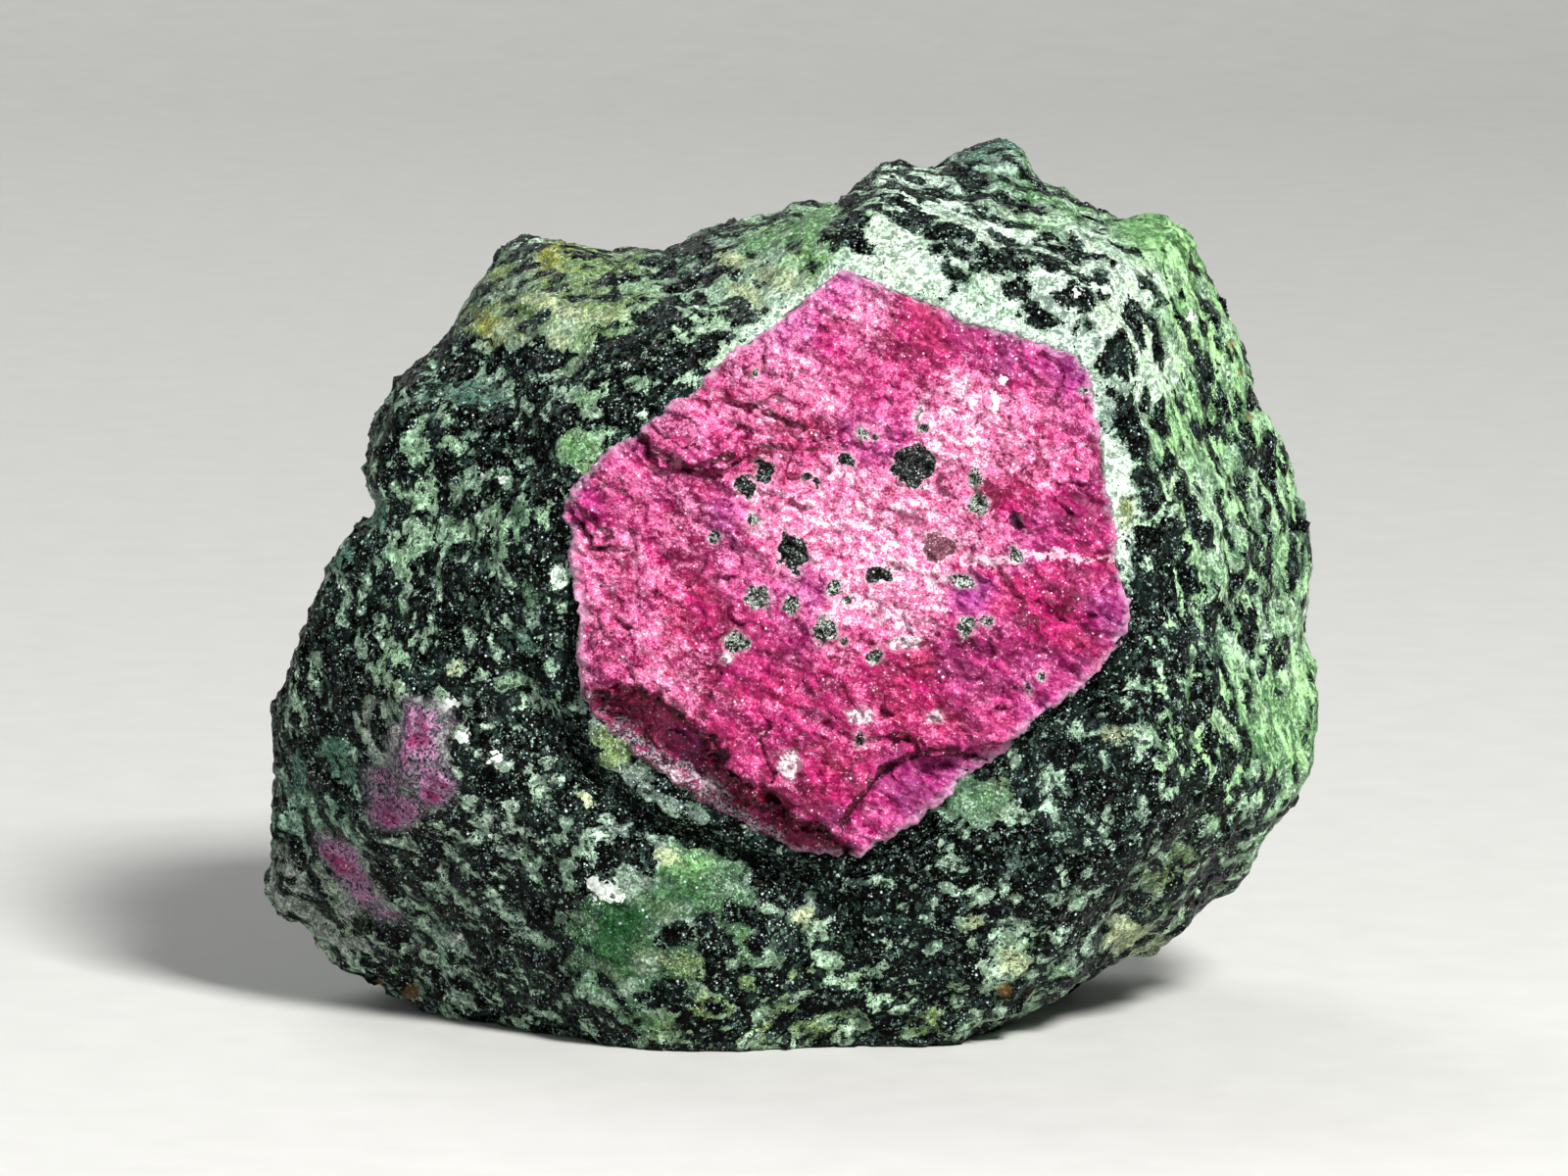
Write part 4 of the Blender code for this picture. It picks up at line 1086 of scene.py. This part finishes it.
def make_small_ruby(name, patches, skin, node):
    """A small ruby: a patch of the stone's own skin, raised a little, with edges that go below it."""
    source = skin.data
    world, normals = read_mesh(source)
    points = np.zeros(len(source.vertices) * 4, dtype=np.float32)
    source.attributes["place"].data.foreach_get("color", points)
    points = points.reshape(-1, 4)[:, :3].astype(float)
    pixels = to_pixels(points)
    facing = -(normals @ np.array(LEAN))[:, 1]
    strength = np.zeros(len(points))
    for column, row, width, height, turn, weight in patches:
        depth = oval_depth(pixels, column, row, width, height, turn)
        strength = np.maximum(strength, weight * np.clip(0.5 + depth, 0.0, 1.0))
    strength += 0.16 * noise_at(points, 1.0, 61.0)
    strength *= facing > 0.0
    chosen = strength > 0.32
    number = np.full(len(points), -1)
    number[chosen] = np.arange(chosen.sum())
    faces = [[number[v] for v in polygon.vertices] for polygon in source.polygons]
    faces = [face for face in faces if min(face) >= 0]
    rise = 0.32 * smooth_step((strength - 0.42) / 0.3) - 0.22
    raised = world + (rise + 0.06 * noise_at(points, 0.8, 62.0))[:, None] * normals * MM
    mesh = bpy.data.meshes.new(name)
    mesh.from_pydata(raised[chosen].tolist(), [], faces)
    add_field(mesh, "strength", strength[chosen])
    editor = bmesh.new()
    editor.from_mesh(mesh)
    drop_loose(editor)
    editor.to_mesh(mesh)
    editor.free()
    piece = new_piece(name, mesh, small_ruby_material(name))
    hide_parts(node)
    return piece


# ---------------------------------------------------------------- materials


class Graph:
    """A material's nodes, built with short calls that take sockets or plain values."""

    def __init__(self, name):
        self.material = bpy.data.materials.new(name)
        self.material.use_nodes = True
        self.nodes = self.material.node_tree.nodes
        self.links = self.material.node_tree.links
        self.nodes.clear()
        output = self.nodes.new("ShaderNodeOutputMaterial")
        self.surface = self.nodes.new("ShaderNodeBsdfPrincipled")
        self.links.new(self.surface.outputs["BSDF"], output.inputs["Surface"])

    def feed(self, socket, value):
        """Links another socket, or sets a number, a vector or a screen colour."""
        if isinstance(value, bpy.types.NodeSocket):
            self.links.new(value, socket)
        elif socket.type == "RGBA":
            socket.default_value = (*screen(value), 1.0)
        else:
            socket.default_value = value

    def place(self):
        """Position on the piece in millimetres."""
        coordinates = self.nodes.new("ShaderNodeTexCoord")
        return self.scaled(coordinates.outputs["Object"], 1.0 / MM)

    def vector_math(self, operation, first, second):
        """A node that works on two vectors."""
        node = self.nodes.new("ShaderNodeVectorMath")
        node.operation = operation
        self.feed(node.inputs[0], first)
        self.feed(node.inputs[1], second)
        return node

    def scaled(self, vector, factor):
        """A vector times a number."""
        return self.vector_math("MULTIPLY", vector, (factor, factor, factor)).outputs[0]

    def dot(self, vector, direction):
        """How far a vector goes in a direction."""
        return self.vector_math("DOT_PRODUCT", vector, direction).outputs["Value"]

    def vector(self, x, y, z):
        """Three values as one vector."""
        node = self.nodes.new("ShaderNodeCombineXYZ")
        for socket, value in zip(node.inputs, (x, y, z)):
            self.feed(socket, value)
        return node.outputs[0]

    def field(self, name, output="Fac"):
        """One of the mesh's fields."""
        node = self.nodes.new("ShaderNodeAttribute")
        node.attribute_name = name
        return node.outputs[output]

    def math(self, operation, *values):
        """The result of some arithmetic on sockets or numbers."""
        node = self.nodes.new("ShaderNodeMath")
        node.operation = operation
        for socket, value in zip(node.inputs, values):
            self.feed(socket, value)
        return node.outputs[0]

    def add(self, first, second):
        """The sum of two values."""
        return self.math("ADD", first, second)

    def times(self, first, second):
        """The product of two values."""
        return self.math("MULTIPLY", first, second)

    def total(self, *parts):
        """The sum of some values, each times its own factor."""
        result = 0.0
        for value, factor in parts:
            result = self.math("MULTIPLY_ADD", value, factor, result)
        return result

    def ragged(self, value, *parts):
        """A value made uneven by noises around 0.5, each times its own factor."""
        middle = 0.5 * sum(factor for _, factor in parts)
        return self.add(self.total((value, 1.0), *parts), -middle)

    def between(self, value, low, high, to_low=0.0, to_high=1.0):
        """A smooth step of the value from low to high."""
        node = self.nodes.new("ShaderNodeMapRange")
        node.interpolation_type = "SMOOTHSTEP"
        for socket, part in zip(node.inputs, (value, low, high, to_low, to_high)):
            self.feed(socket, part)
        return node.outputs[0]

    def mix(self, share, first, second, blend="MIX"):
        """The first colour with a share of the second."""
        node = self.nodes.new("ShaderNodeMix")
        node.data_type = "RGBA"
        node.blend_type = blend
        self.feed(node.inputs[0], share)
        self.feed(node.inputs[6], first)
        self.feed(node.inputs[7], second)
        return node.outputs[2]

    def paint(self, colour, share, strength, new):
        """A colour with another laid over a share of it, at a strength."""
        return self.mix(self.times(share, strength), colour, new)

    def noise(self, vector, size, detail=3.0, roughness=0.55):
        """Noise around 0.5, with features of a size in millimetres."""
        node = self.nodes.new("ShaderNodeTexNoise")
        self.feed(node.inputs["Vector"], vector)
        node.inputs["Scale"].default_value = 1.0 / size
        node.inputs["Detail"].default_value = detail
        node.inputs["Roughness"].default_value = roughness
        return node.outputs["Fac"]

    def cells(self, vector, size):
        """Random cells: their node, and two random values for each cell."""
        node = self.nodes.new("ShaderNodeTexVoronoi")
        self.feed(node.inputs["Vector"], vector)
        node.inputs["Scale"].default_value = 1.0 / size
        split = self.nodes.new("ShaderNodeSeparateColor")
        self.links.new(node.outputs["Color"], split.inputs[0])
        return node, split.outputs[0], split.outputs[1]

    def streaks(self, place, angle_deg, size):
        """Noise drawn out along a direction in the front's plane."""
        angle = math.radians(angle_deg)
        along = self.times(self.dot(place, (math.cos(angle), 0.0, math.sin(angle))), 0.28)
        across = self.dot(place, (-math.sin(angle), 0.0, math.cos(angle)))
        return self.noise(self.vector(along, across, self.dot(place, (0.0, 1.0, 0.0))), size, 3.0, 0.6)

    def dots(self, vector, size, share):
        """Small dots of different strengths at random places, in a share of the cells of a size."""
        node, chance, strength = self.cells(vector, size)
        inside = self.between(self.total((strength, 0.16), (node.outputs["Distance"], 1.0)), 0.50, 0.26)
        inside = self.times(inside, self.between(strength, 0.0, 1.0, 1.0, 0.25))
        return self.times(inside, self.between(chance, 0.98 - share, 1.02 - share))

    def facets(self, vector, size):
        """Tilted planes, one for each random cell: their height in millimetres, and two random values."""
        node, first, second = self.cells(vector, size)
        offset = self.vector_math("SUBTRACT", vector, node.outputs["Position"]).outputs[0]
        tilt = self.vector_math("SUBTRACT", node.outputs["Color"], (0.5, 0.5, 0.5)).outputs[0]
        return self.dot(offset, tilt), first, second

    def bump(self, height, factor=1.0, normal=None):
        """A normal bent by a height in millimetres, times a factor."""
        node = self.nodes.new("ShaderNodeBump")
        node.inputs["Strength"].default_value = 1.0
        node.inputs["Distance"].default_value = factor * MM
        self.feed(node.inputs["Height"], height)
        if normal is not None:
            self.feed(node.inputs["Normal"], normal)
        return node.outputs[0]

    def finish(self, colour, roughness, normal, gloss=0.5):
        """Sets the surface and hands over the material."""
        self.feed(self.surface.inputs["Base Color"], colour)
        self.feed(self.surface.inputs["Roughness"], roughness)
        self.feed(self.surface.inputs["Normal"], normal)
        self.surface.inputs["IOR"].default_value = 1.5
        self.surface.inputs["Specular IOR Level"].default_value = gloss
        return self.material


def zoisite(graph, place, grit, fine, crumbs, middle, crystal, streaks):
    """The zoisite's colour: the ground, brighter and darker crystals, green veils and chalky grit."""
    black = graph.field("black")
    slab = graph.field("slab")
    speckle = graph.total((crumbs, 0.8), (fine, 0.7), (crystal, 0.3))
    brightness = graph.between(speckle, 0.74, 1.08, 0.36, 1.35)
    brightness = graph.times(brightness, graph.between(middle, 0.30, 0.70, 0.74, 1.18))
    brightness = graph.times(brightness, graph.between(black, 0.35, 0.85, 0.95, 1.3))
    grey = graph.vector(brightness, brightness, brightness)
    colour = graph.mix(1.0, graph.field("ground", "Color"), grey, "MULTIPLY")
    dim = graph.between(graph.total((middle, 1.0), (fine, 0.4)), 0.66, 0.56)
    colour = graph.paint(colour, dim, 0.30, (0.30, 0.42, 0.38))
    green = graph.between(graph.noise(place, 1.7, 3.0, 0.65), 0.54, 0.66)
    colour = graph.paint(colour, green, 0.35, (0.26, 0.45, 0.26))
    pale_streak = graph.times(slab, graph.between(streaks, 0.50, 0.62))
    colour = graph.paint(colour, pale_streak, 0.7, (0.70, 0.90, 0.64))
    green_streak = graph.times(slab, graph.between(streaks, 0.46, 0.36))
    colour = graph.paint(colour, green_streak, 0.55, (0.22, 0.42, 0.24))
    chalk = graph.between(graph.total((grit, 0.4), (fine, 0.6)), 0.55, 0.59)
    colour = graph.paint(colour, chalk, graph.between(black, 0.08, 0.30, 0.12, 0.55), (0.84, 0.92, 0.86))
    specks = graph.times(graph.dots(graph.scaled(place, 0.97), 0.34, 0.22), graph.between(black, 0.05, 0.2))
    return graph.paint(colour, specks, 0.7, (0.14, 0.22, 0.19))


def amphibole(graph, place, crumbs, middle, crystal_tint):
    """The black grains' colour: painted sheen in veils, grey cleavage flakes as painted glints, and pale
    splinters of cleavage.
    """
    wide = graph.noise(place, 3.2, 2.0)
    # Painted sheen: greyer veils over the black.
    glassy_sheen = graph.between(graph.total((crumbs, 0.6), (wide, 1.0)), 0.80, 0.92)
    colour = graph.paint((0.0, 0.0, 0.0), glassy_sheen, 0.4, (0.10, 0.15, 0.14))
    web = graph.between(graph.noise(place, 0.95, 4.0, 0.75), 0.56, 0.63)
    colour = graph.paint(colour, web, 0.55, (0.21, 0.30, 0.26))
    # Painted glints: a few lighter cleavage flakes.
    flake_glint = graph.between(graph.ragged(crystal_tint, (middle, 0.4)), 0.90, 1.0)
    colour = graph.paint(colour, flake_glint, 0.5, (0.28, 0.36, 0.34))
    splinter = graph.between(graph.noise(place, 0.50, 4.0, 0.85), 0.585, 0.635)
    splinter = graph.times(splinter, graph.between(middle, 0.36, 0.50))
    return graph.paint(colour, splinter, 0.7, (0.66, 0.82, 0.74))


def stone_material():
    """Zoisite rock: pale and green zoisite, black amphibole grains, and painted glints as fine bright dots.
    """
    graph = Graph("zoisite rock")
    place = graph.place()
    grit = graph.noise(place, 0.17, 2.0, 0.8)
    fine = graph.noise(place, 0.30, 3.0, 0.7)
    crumbs = graph.noise(place, 0.60, 3.0, 0.75)
    middle = graph.noise(place, 1.3, 3.0, 0.6)
    small_tilt, crystal, crystal_tint = graph.facets(place, 0.40)
    large_tilt, _, _ = graph.facets(place, 1.25)
    streaks = graph.streaks(place, -68.0, 1.1)
    ridges = graph.streaks(place, -31.0, 0.55)
    black = graph.field("black")

    colour = zoisite(graph, place, grit, fine, crumbs, middle, crystal, streaks)
    edge = graph.ragged(graph.field("grains"), (fine, 1.0), (crumbs, 0.8))
    edge = graph.add(edge, graph.between(black, 0.45, 0.85, 0.0, 0.20))
    for name, bands, factor in (("slab", streaks, -0.8), ("strata", ridges, 2.2)):
        edge = graph.math("MULTIPLY_ADD", graph.field(name), graph.ragged(0.0, (bands, factor)), edge)
    dust = graph.between(graph.total((black, 0.16), (crumbs, 1.0)), 0.66, 0.69)
    grains = graph.math("MAXIMUM", graph.between(edge, -0.04, 0.06), graph.times(dust, 0.95))
    colour = graph.mix(grains, colour, amphibole(graph, place, crumbs, middle, crystal_tint))

    # Painted highlights: fine white dots, in clusters and scattered, stand in for the glints of small
    # crystals.
    glint_clusters = graph.between(graph.total((middle, 0.5), (crumbs, 1.0)), 0.68, 0.84)
    glint_clusters = graph.times(glint_clusters, graph.between(black, 0.08, 0.30, 0.15, 1.0))
    dots = graph.times(graph.dots(place, 0.23, 0.28), glint_clusters)
    dots = graph.math("MAXIMUM", dots, graph.dots(place, 0.32, 0.04))
    colour = graph.paint(colour, dots, 0.9, (0.82, 0.90, 0.88))
    rust = graph.between(graph.ragged(graph.field("stain"), (fine, 0.8)), 0.35, 0.75)
    colour = graph.paint(colour, rust, 0.6, (0.46, 0.32, 0.16))
    # Painted highlight: the mica glints, laid on as silvery white.
    mica_glint = graph.between(graph.ragged(graph.field("glint"), (crystal, 0.9)), 0.45, 0.55)
    colour = graph.paint(colour, mica_glint, 0.85, (0.92, 0.95, 0.92))
    lilac = graph.between(graph.total((fine, 0.6), (grit, 0.4)), 0.42, 0.58)
    lilac = graph.mix(lilac, (0.07, 0.06, 0.08), (0.66, 0.58, 0.66))
    pink = graph.between(graph.ragged(graph.field("pink"), (middle, 1.0)), 0.20, 0.75)
    colour = graph.paint(colour, pink, 0.7, lilac)

    roughness = graph.between(crystal_tint, 0.0, 1.0, 0.38, 0.72)
    roughness = graph.times(roughness, graph.between(grains, 0.0, 1.0, 1.0, 0.55))
    lumps = graph.bump(graph.total((fine, 0.10), (middle, 0.28)))
    chips = graph.bump(large_tilt, 0.55, lumps)
    return graph.finish(colour, roughness, graph.bump(small_tilt, 0.9, chips), gloss=0.05)


def crimson(graph, grit, crumbs, flakes, veils, slab, slab_tint):
    """The ruby's colour: crimson, rosy and violet parts under pink bloom and white frost, with painted shade
    as small dark red spots.
    """
    tone = graph.total((veils, 0.5), (flakes, 0.3), (slab, 0.2))
    red = graph.mix(graph.between(tone, 0.36, 0.64), (0.43, 0.0, 0.19), (0.76, 0.06, 0.42))
    rosy = graph.between(graph.total((slab_tint, 0.5), (veils, 0.5)), 0.50, 0.75)
    red = graph.paint(red, rosy, 0.5, (0.86, 0.24, 0.46))
    dark = graph.between(graph.total((grit, 0.4), (flakes, 1.0)), 0.80, 0.55)
    red = graph.paint(red, graph.times(graph.field("depth"), dark), 0.75, (0.32, 0.0, 0.09))
    purple = graph.mix(graph.between(flakes, 0.38, 0.64), (0.42, 0.05, 0.36), (0.74, 0.36, 0.68))
    colour = graph.paint(red, graph.field("violet"), 0.85, purple)
    level = graph.total(
        (flakes, 0.30), (crumbs, 0.38), (grit, 0.30), (veils, 0.16), (graph.field("frost"), 0.26)
    )
    colour = graph.paint(colour, graph.between(level, 0.655, 0.735), 0.72, (0.87, 0.50, 0.68))
    colour = graph.paint(colour, graph.between(level, 0.755, 0.805), 0.90, (0.97, 0.91, 0.95))
    # Painted shade: small dark red spots, standing in for the shade in tiny pits.
    pit_shade = graph.between(graph.total((grit, 0.5), (crumbs, 0.5)), 0.45, 0.38)
    return graph.paint(colour, pit_shade, 0.65, (0.34, 0.02, 0.16))


def broken_edges(graph, colour, grit, fine, crumbs, flakes, cell):
    """Lays the pale veins, painted shade on the scarps, bench and cracks, and the dusty rim over the ruby.
    """
    vein_field = graph.field("vein")
    vein = graph.add(graph.times(vein_field, 0.75), graph.ragged(0.0, (crumbs, 2.2), (fine, 1.5)))
    vein = graph.times(graph.between(vein, 0.45, 0.70), graph.between(vein_field, 0.0, 0.3))
    colour = graph.paint(colour, vein, 0.8, (0.95, 0.76, 0.84))
    # Painted shade: near-black with crimson patches and pale flecks, laid on the scarps and the bench below
    # them.
    shade = graph.between(graph.total((flakes, 0.4), (crumbs, 0.3), (cell, 0.15)), 0.40, 0.50)
    shade = graph.mix(shade, (0.03, 0.0, 0.02), (0.52, 0.01, 0.21))
    fleck = graph.between(graph.total((grit, 0.5), (fine, 0.5)), 0.59, 0.64)
    shade = graph.paint(shade, fleck, 0.7, (0.90, 0.50, 0.66))
    scarp = graph.ragged(graph.field("scarp"), (crumbs, 2.2))
    colour = graph.mix(graph.between(scarp, 0.25, 0.75, 0.0, 0.95), colour, shade)
    bench = graph.ragged(graph.field("bench"), (flakes, 2.0))
    colour = graph.paint(colour, graph.between(bench, 0.70, 1.05), 0.8, shade)
    # Painted shade: the cracks are painted dark red.
    crack = graph.ragged(graph.field("crack"), (crumbs, 2.4))
    colour = graph.mix(graph.between(crack, 0.45, 0.95, 0.0, 0.9), colour, (0.22, 0.0, 0.05))
    rim = graph.total((crumbs, 3.2), (graph.field("inside"), 1.0))
    return graph.paint(colour, graph.between(rim, 2.45, 1.55), 0.6, (0.78, 0.66, 0.76))


def lay_grains(graph, colour, grit, fine, crumbs, cell, cell_tint):
    """Lays the other minerals' grains over the ruby, some of them in a pale halo."""
    crystals = graph.total((grit, 0.5), (fine, 0.5))
    crystals = graph.ragged(crystals, (cell_tint, 0.12))
    bright = graph.between(crystals, 0.49, 0.58)
    sparks = graph.between(crystals, 0.56, 0.62)
    chalky = graph.between(crumbs, 0.42, 0.56)
    rubble = graph.mix(graph.between(fine, 0.42, 0.60), (0.10, 0.06, 0.08), (0.66, 0.60, 0.64))
    kinds = [
        ("rubble", 0.0, graph.mix(graph.between(crumbs, 0.50, 0.60), rubble, (0.55, 0.12, 0.34))),
        ("plum", 0.0, (0.24, 0.05, 0.18)),
        ("brown", 0.36, graph.mix(bright, (0.34, 0.16, 0.22), (0.62, 0.40, 0.47))),
        ("cream", 0.12, graph.mix(chalky, (0.46, 0.30, 0.36), (0.88, 0.80, 0.84))),
        ("mottled", 0.18, graph.mix(bright, (0.03, 0.05, 0.04), (0.74, 0.78, 0.74))),
        ("black", 0.24, graph.paint((0.01, 0.02, 0.02), sparks, 0.8, (0.66, 0.74, 0.70))),
        ("white", 0.0, (1.0, 0.97, 0.98)),
    ]
    for name, halo, mineral in kinds:
        depth = graph.ragged(graph.field(name), (fine, 0.7), (cell, 0.25))
        if halo:
            colour = graph.paint(colour, graph.between(depth, -0.36, -0.10), halo, (0.95, 0.84, 0.88))
        colour = graph.mix(graph.between(depth, -0.05, 0.05), colour, mineral)
    return colour


def ruby_material():
    """Opaque ruby: crimson with pink and white frosting along its cleavage, and mineral grains, with painted
    shade in its cracks, scarps and bench and painted glints as white dots.
    """
    graph = Graph("ruby")
    place = graph.place()
    turn = math.radians(RUBY_GRAIN_DEG)
    along = LEAN @ Vector((math.cos(turn), 0.0, math.sin(turn)))
    across = LEAN @ Vector((-math.sin(turn), 0.0, math.cos(turn)))
    inwards = LEAN @ Vector((0.0, 1.0, 0.0))
    drawn_out = graph.times(graph.dot(place, along), 0.6)
    streaks = graph.vector(drawn_out, graph.dot(place, across), graph.dot(place, inwards))
    grit = graph.noise(place, 0.17, 2.0, 0.8)
    fine = graph.noise(place, 0.26, 3.0, 0.7)
    crumbs = graph.noise(place, 0.60, 4.0, 0.75)
    flakes = graph.noise(streaks, 0.80, 4.0, 0.72)
    veils = graph.noise(streaks, 2.6, 3.0, 0.6)
    small_tilt, cell, cell_tint = graph.facets(streaks, 0.42)
    large_tilt, slab, slab_tint = graph.facets(streaks, 1.5)

    colour = crimson(graph, grit, crumbs, flakes, veils, slab, slab_tint)
    colour = broken_edges(graph, colour, grit, fine, crumbs, flakes, cell)
    colour = lay_grains(graph, colour, grit, fine, crumbs, cell, cell_tint)
    # Painted highlights: fine white dots, in clusters and scattered, stand in for glints on the crystal.
    glint_clusters = graph.between(graph.total((crumbs, 0.5), (flakes, 1.0)), 0.70, 0.90)
    dots = graph.times(graph.dots(place, 0.23, 0.30), glint_clusters)
    dots = graph.math("MAXIMUM", dots, graph.dots(place, 0.32, 0.03))
    colour = graph.paint(colour, dots, 0.95, (1.0, 0.93, 0.97))
    roughness = graph.total((graph.field("frost"), 0.3), (cell_tint, 1.0))
    roughness = graph.between(roughness, 0.0, 1.3, 0.24, 0.62)
    lumps = graph.bump(graph.total((flakes, 0.22), (fine, 0.07)))
    slabs = graph.bump(large_tilt, 0.45, lumps)
    return graph.finish(colour, roughness, graph.bump(small_tilt, 0.8, slabs), gloss=0.20)


def small_ruby_material(name):
    """A small ruby: dusty purple-pink in its middle, greyer and paler towards the rock, with painted glints
    as pale dots.
    """
    graph = Graph(name)
    place = graph.place()
    fine = graph.noise(place, 0.28, 4.0, 0.7)
    middle = graph.noise(place, 1.1, 3.0, 0.6)
    tilt, cell, cell_tint = graph.facets(place, 0.40)
    tone = graph.total((middle, 0.7), (fine, 0.5))
    pink = graph.mix(graph.between(tone, 0.45, 0.75), (0.30, 0.01, 0.18), (0.64, 0.16, 0.42))
    patchy = graph.between(fine, 0.40, 0.60)
    grey = graph.mix(patchy, (0.07, 0.06, 0.08), (0.62, 0.54, 0.63))
    lilac = graph.mix(patchy, (0.28, 0.16, 0.27), (0.76, 0.54, 0.70))
    level = graph.ragged(graph.field("strength"), (fine, 1.2), (middle, 1.3))
    colour = graph.mix(graph.between(level, 0.40, 0.80, 0.0, 0.9), grey, lilac)
    colour = graph.mix(graph.between(level, 0.78, 1.15, 0.0, 0.9), colour, pink)
    # Painted highlights: pale dots stand in for glints.
    colour = graph.paint(colour, graph.dots(place, 0.23, 0.25), 0.8, (0.90, 0.84, 0.90))
    dark = graph.between(graph.total((cell, 0.2), (fine, 1.0)), 0.54, 0.44)
    colour = graph.paint(colour, dark, 0.8, (0.06, 0.06, 0.07))
    roughness = graph.between(cell_tint, 0.0, 1.0, 0.26, 0.65)
    normal = graph.bump(tilt, 0.9, graph.bump(graph.times(fine, 0.15)))
    return graph.finish(colour, roughness, normal, gloss=0.15)


def floor_material():
    """Pale matt floor with a trace of tooth."""
    graph = Graph("pale floor")
    tooth = graph.noise(graph.place(), 6.0, 3.0)
    colour = graph.mix(tooth, (0.78, 0.78, 0.77), (0.82, 0.82, 0.81))
    return graph.finish(colour, graph.between(tooth, 0.0, 1.0, 0.7, 0.85), graph.bump(tooth, 0.02))


# ---------------------------------------------------------------- camera, floor and light


def make_camera():
    """Looks straight at the ruby's face, as the photograph does."""
    camera = bpy.data.cameras.new("camera")
    camera.sensor_width = SENSOR
    camera.lens = SENSOR * CAMERA_DISTANCE * PIXELS_PER_MM / PHOTO_WIDTH
    camera.clip_end = 20.0
    eye = bpy.data.objects.new("camera", camera)
    place = to_world(np.array([[AXIS[0], -CAMERA_DISTANCE, AXIS[1]]]))[0]
    turn = LEAN @ Matrix.Rotation(math.radians(90.0), 3, "X")
    eye.matrix_world = Matrix.Translation(place) @ turn.to_4x4()
    bpy.context.scene.collection.objects.link(eye)
    bpy.context.scene.camera = eye


def make_floor():
    """A floor that curves up into a backdrop."""
    half_width = 2.5
    front = -2.0
    back = 0.75
    bend = 0.5
    profile = [(front, 0.0), (back, 0.0)]
    steps = 16
    for step in range(1, steps + 1):
        angle = math.pi / 2 * step / steps
        profile.append((back + bend * math.sin(angle), bend * (1.0 - math.cos(angle))))
    profile.append((back + bend, 3.0))
    verts = [(x, y, z) for y, z in profile for x in (-half_width, half_width)]
    faces = [(2 * row, 2 * row + 1, 2 * row + 3, 2 * row + 2) for row in range(len(profile) - 1)]
    mesh = bpy.data.meshes.new("floor")
    mesh.from_pydata(verts, [], faces)
    mesh.materials.append(floor_material())
    mesh.polygons.foreach_set("use_smooth", np.ones(len(mesh.polygons), dtype=bool))
    floor = bpy.data.objects.new("floor", mesh)
    bpy.context.scene.collection.objects.link(floor)
    floor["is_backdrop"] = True


def make_light(name, place, size, watts, colour):
    """A square lamp that points at the stone."""
    light = bpy.data.lights.new(name, "AREA")
    light.shape = "SQUARE"
    light.size = size
    light.energy = watts
    light.color = colour
    lamp = bpy.data.objects.new(name, light)
    aim = (Vector(place) - Vector(LAMP_TARGET)).to_track_quat("Z", "Y")
    lamp.matrix_world = Matrix.Translation(place) @ aim.to_matrix().to_4x4()
    bpy.context.scene.collection.objects.link(lamp)


def make_lights():
    """The lamps, and a dim room around them."""
    for lamp in LAMPS:
        make_light(*lamp)
    world = bpy.data.worlds.new("soft room")
    world.use_nodes = True
    background = world.node_tree.nodes["Background"]
    background.inputs["Color"].default_value = ROOM_COLOUR
    background.inputs["Strength"].default_value = ROOM_STRENGTH
    bpy.context.scene.world = world
    bpy.context.scene.view_settings.view_transform = "Standard"


def write_sizes():
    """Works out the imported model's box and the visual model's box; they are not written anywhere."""
    boxes = {"cad": cad_box, "visual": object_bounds()}
    boxes = {name: [list(map(float, corner)) for corner in box] for name, box in boxes.items()}


def main():
    """Builds the whole scene."""
    make_camera()
    make_floor()
    make_lights()
    skin = make_stone()
    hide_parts("zoisite_matrix")
    face = make_ruby()
    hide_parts("ruby_crystal")
    make_small_ruby("upper_ruby_patch", RUBY_PATCHES[:UPPER_PATCHES], skin, "upper_small_ruby")
    make_small_ruby("lower_ruby_patch", RUBY_PATCHES[UPPER_PATCHES:], skin, "lower_small_ruby")
    write_sizes()


main()
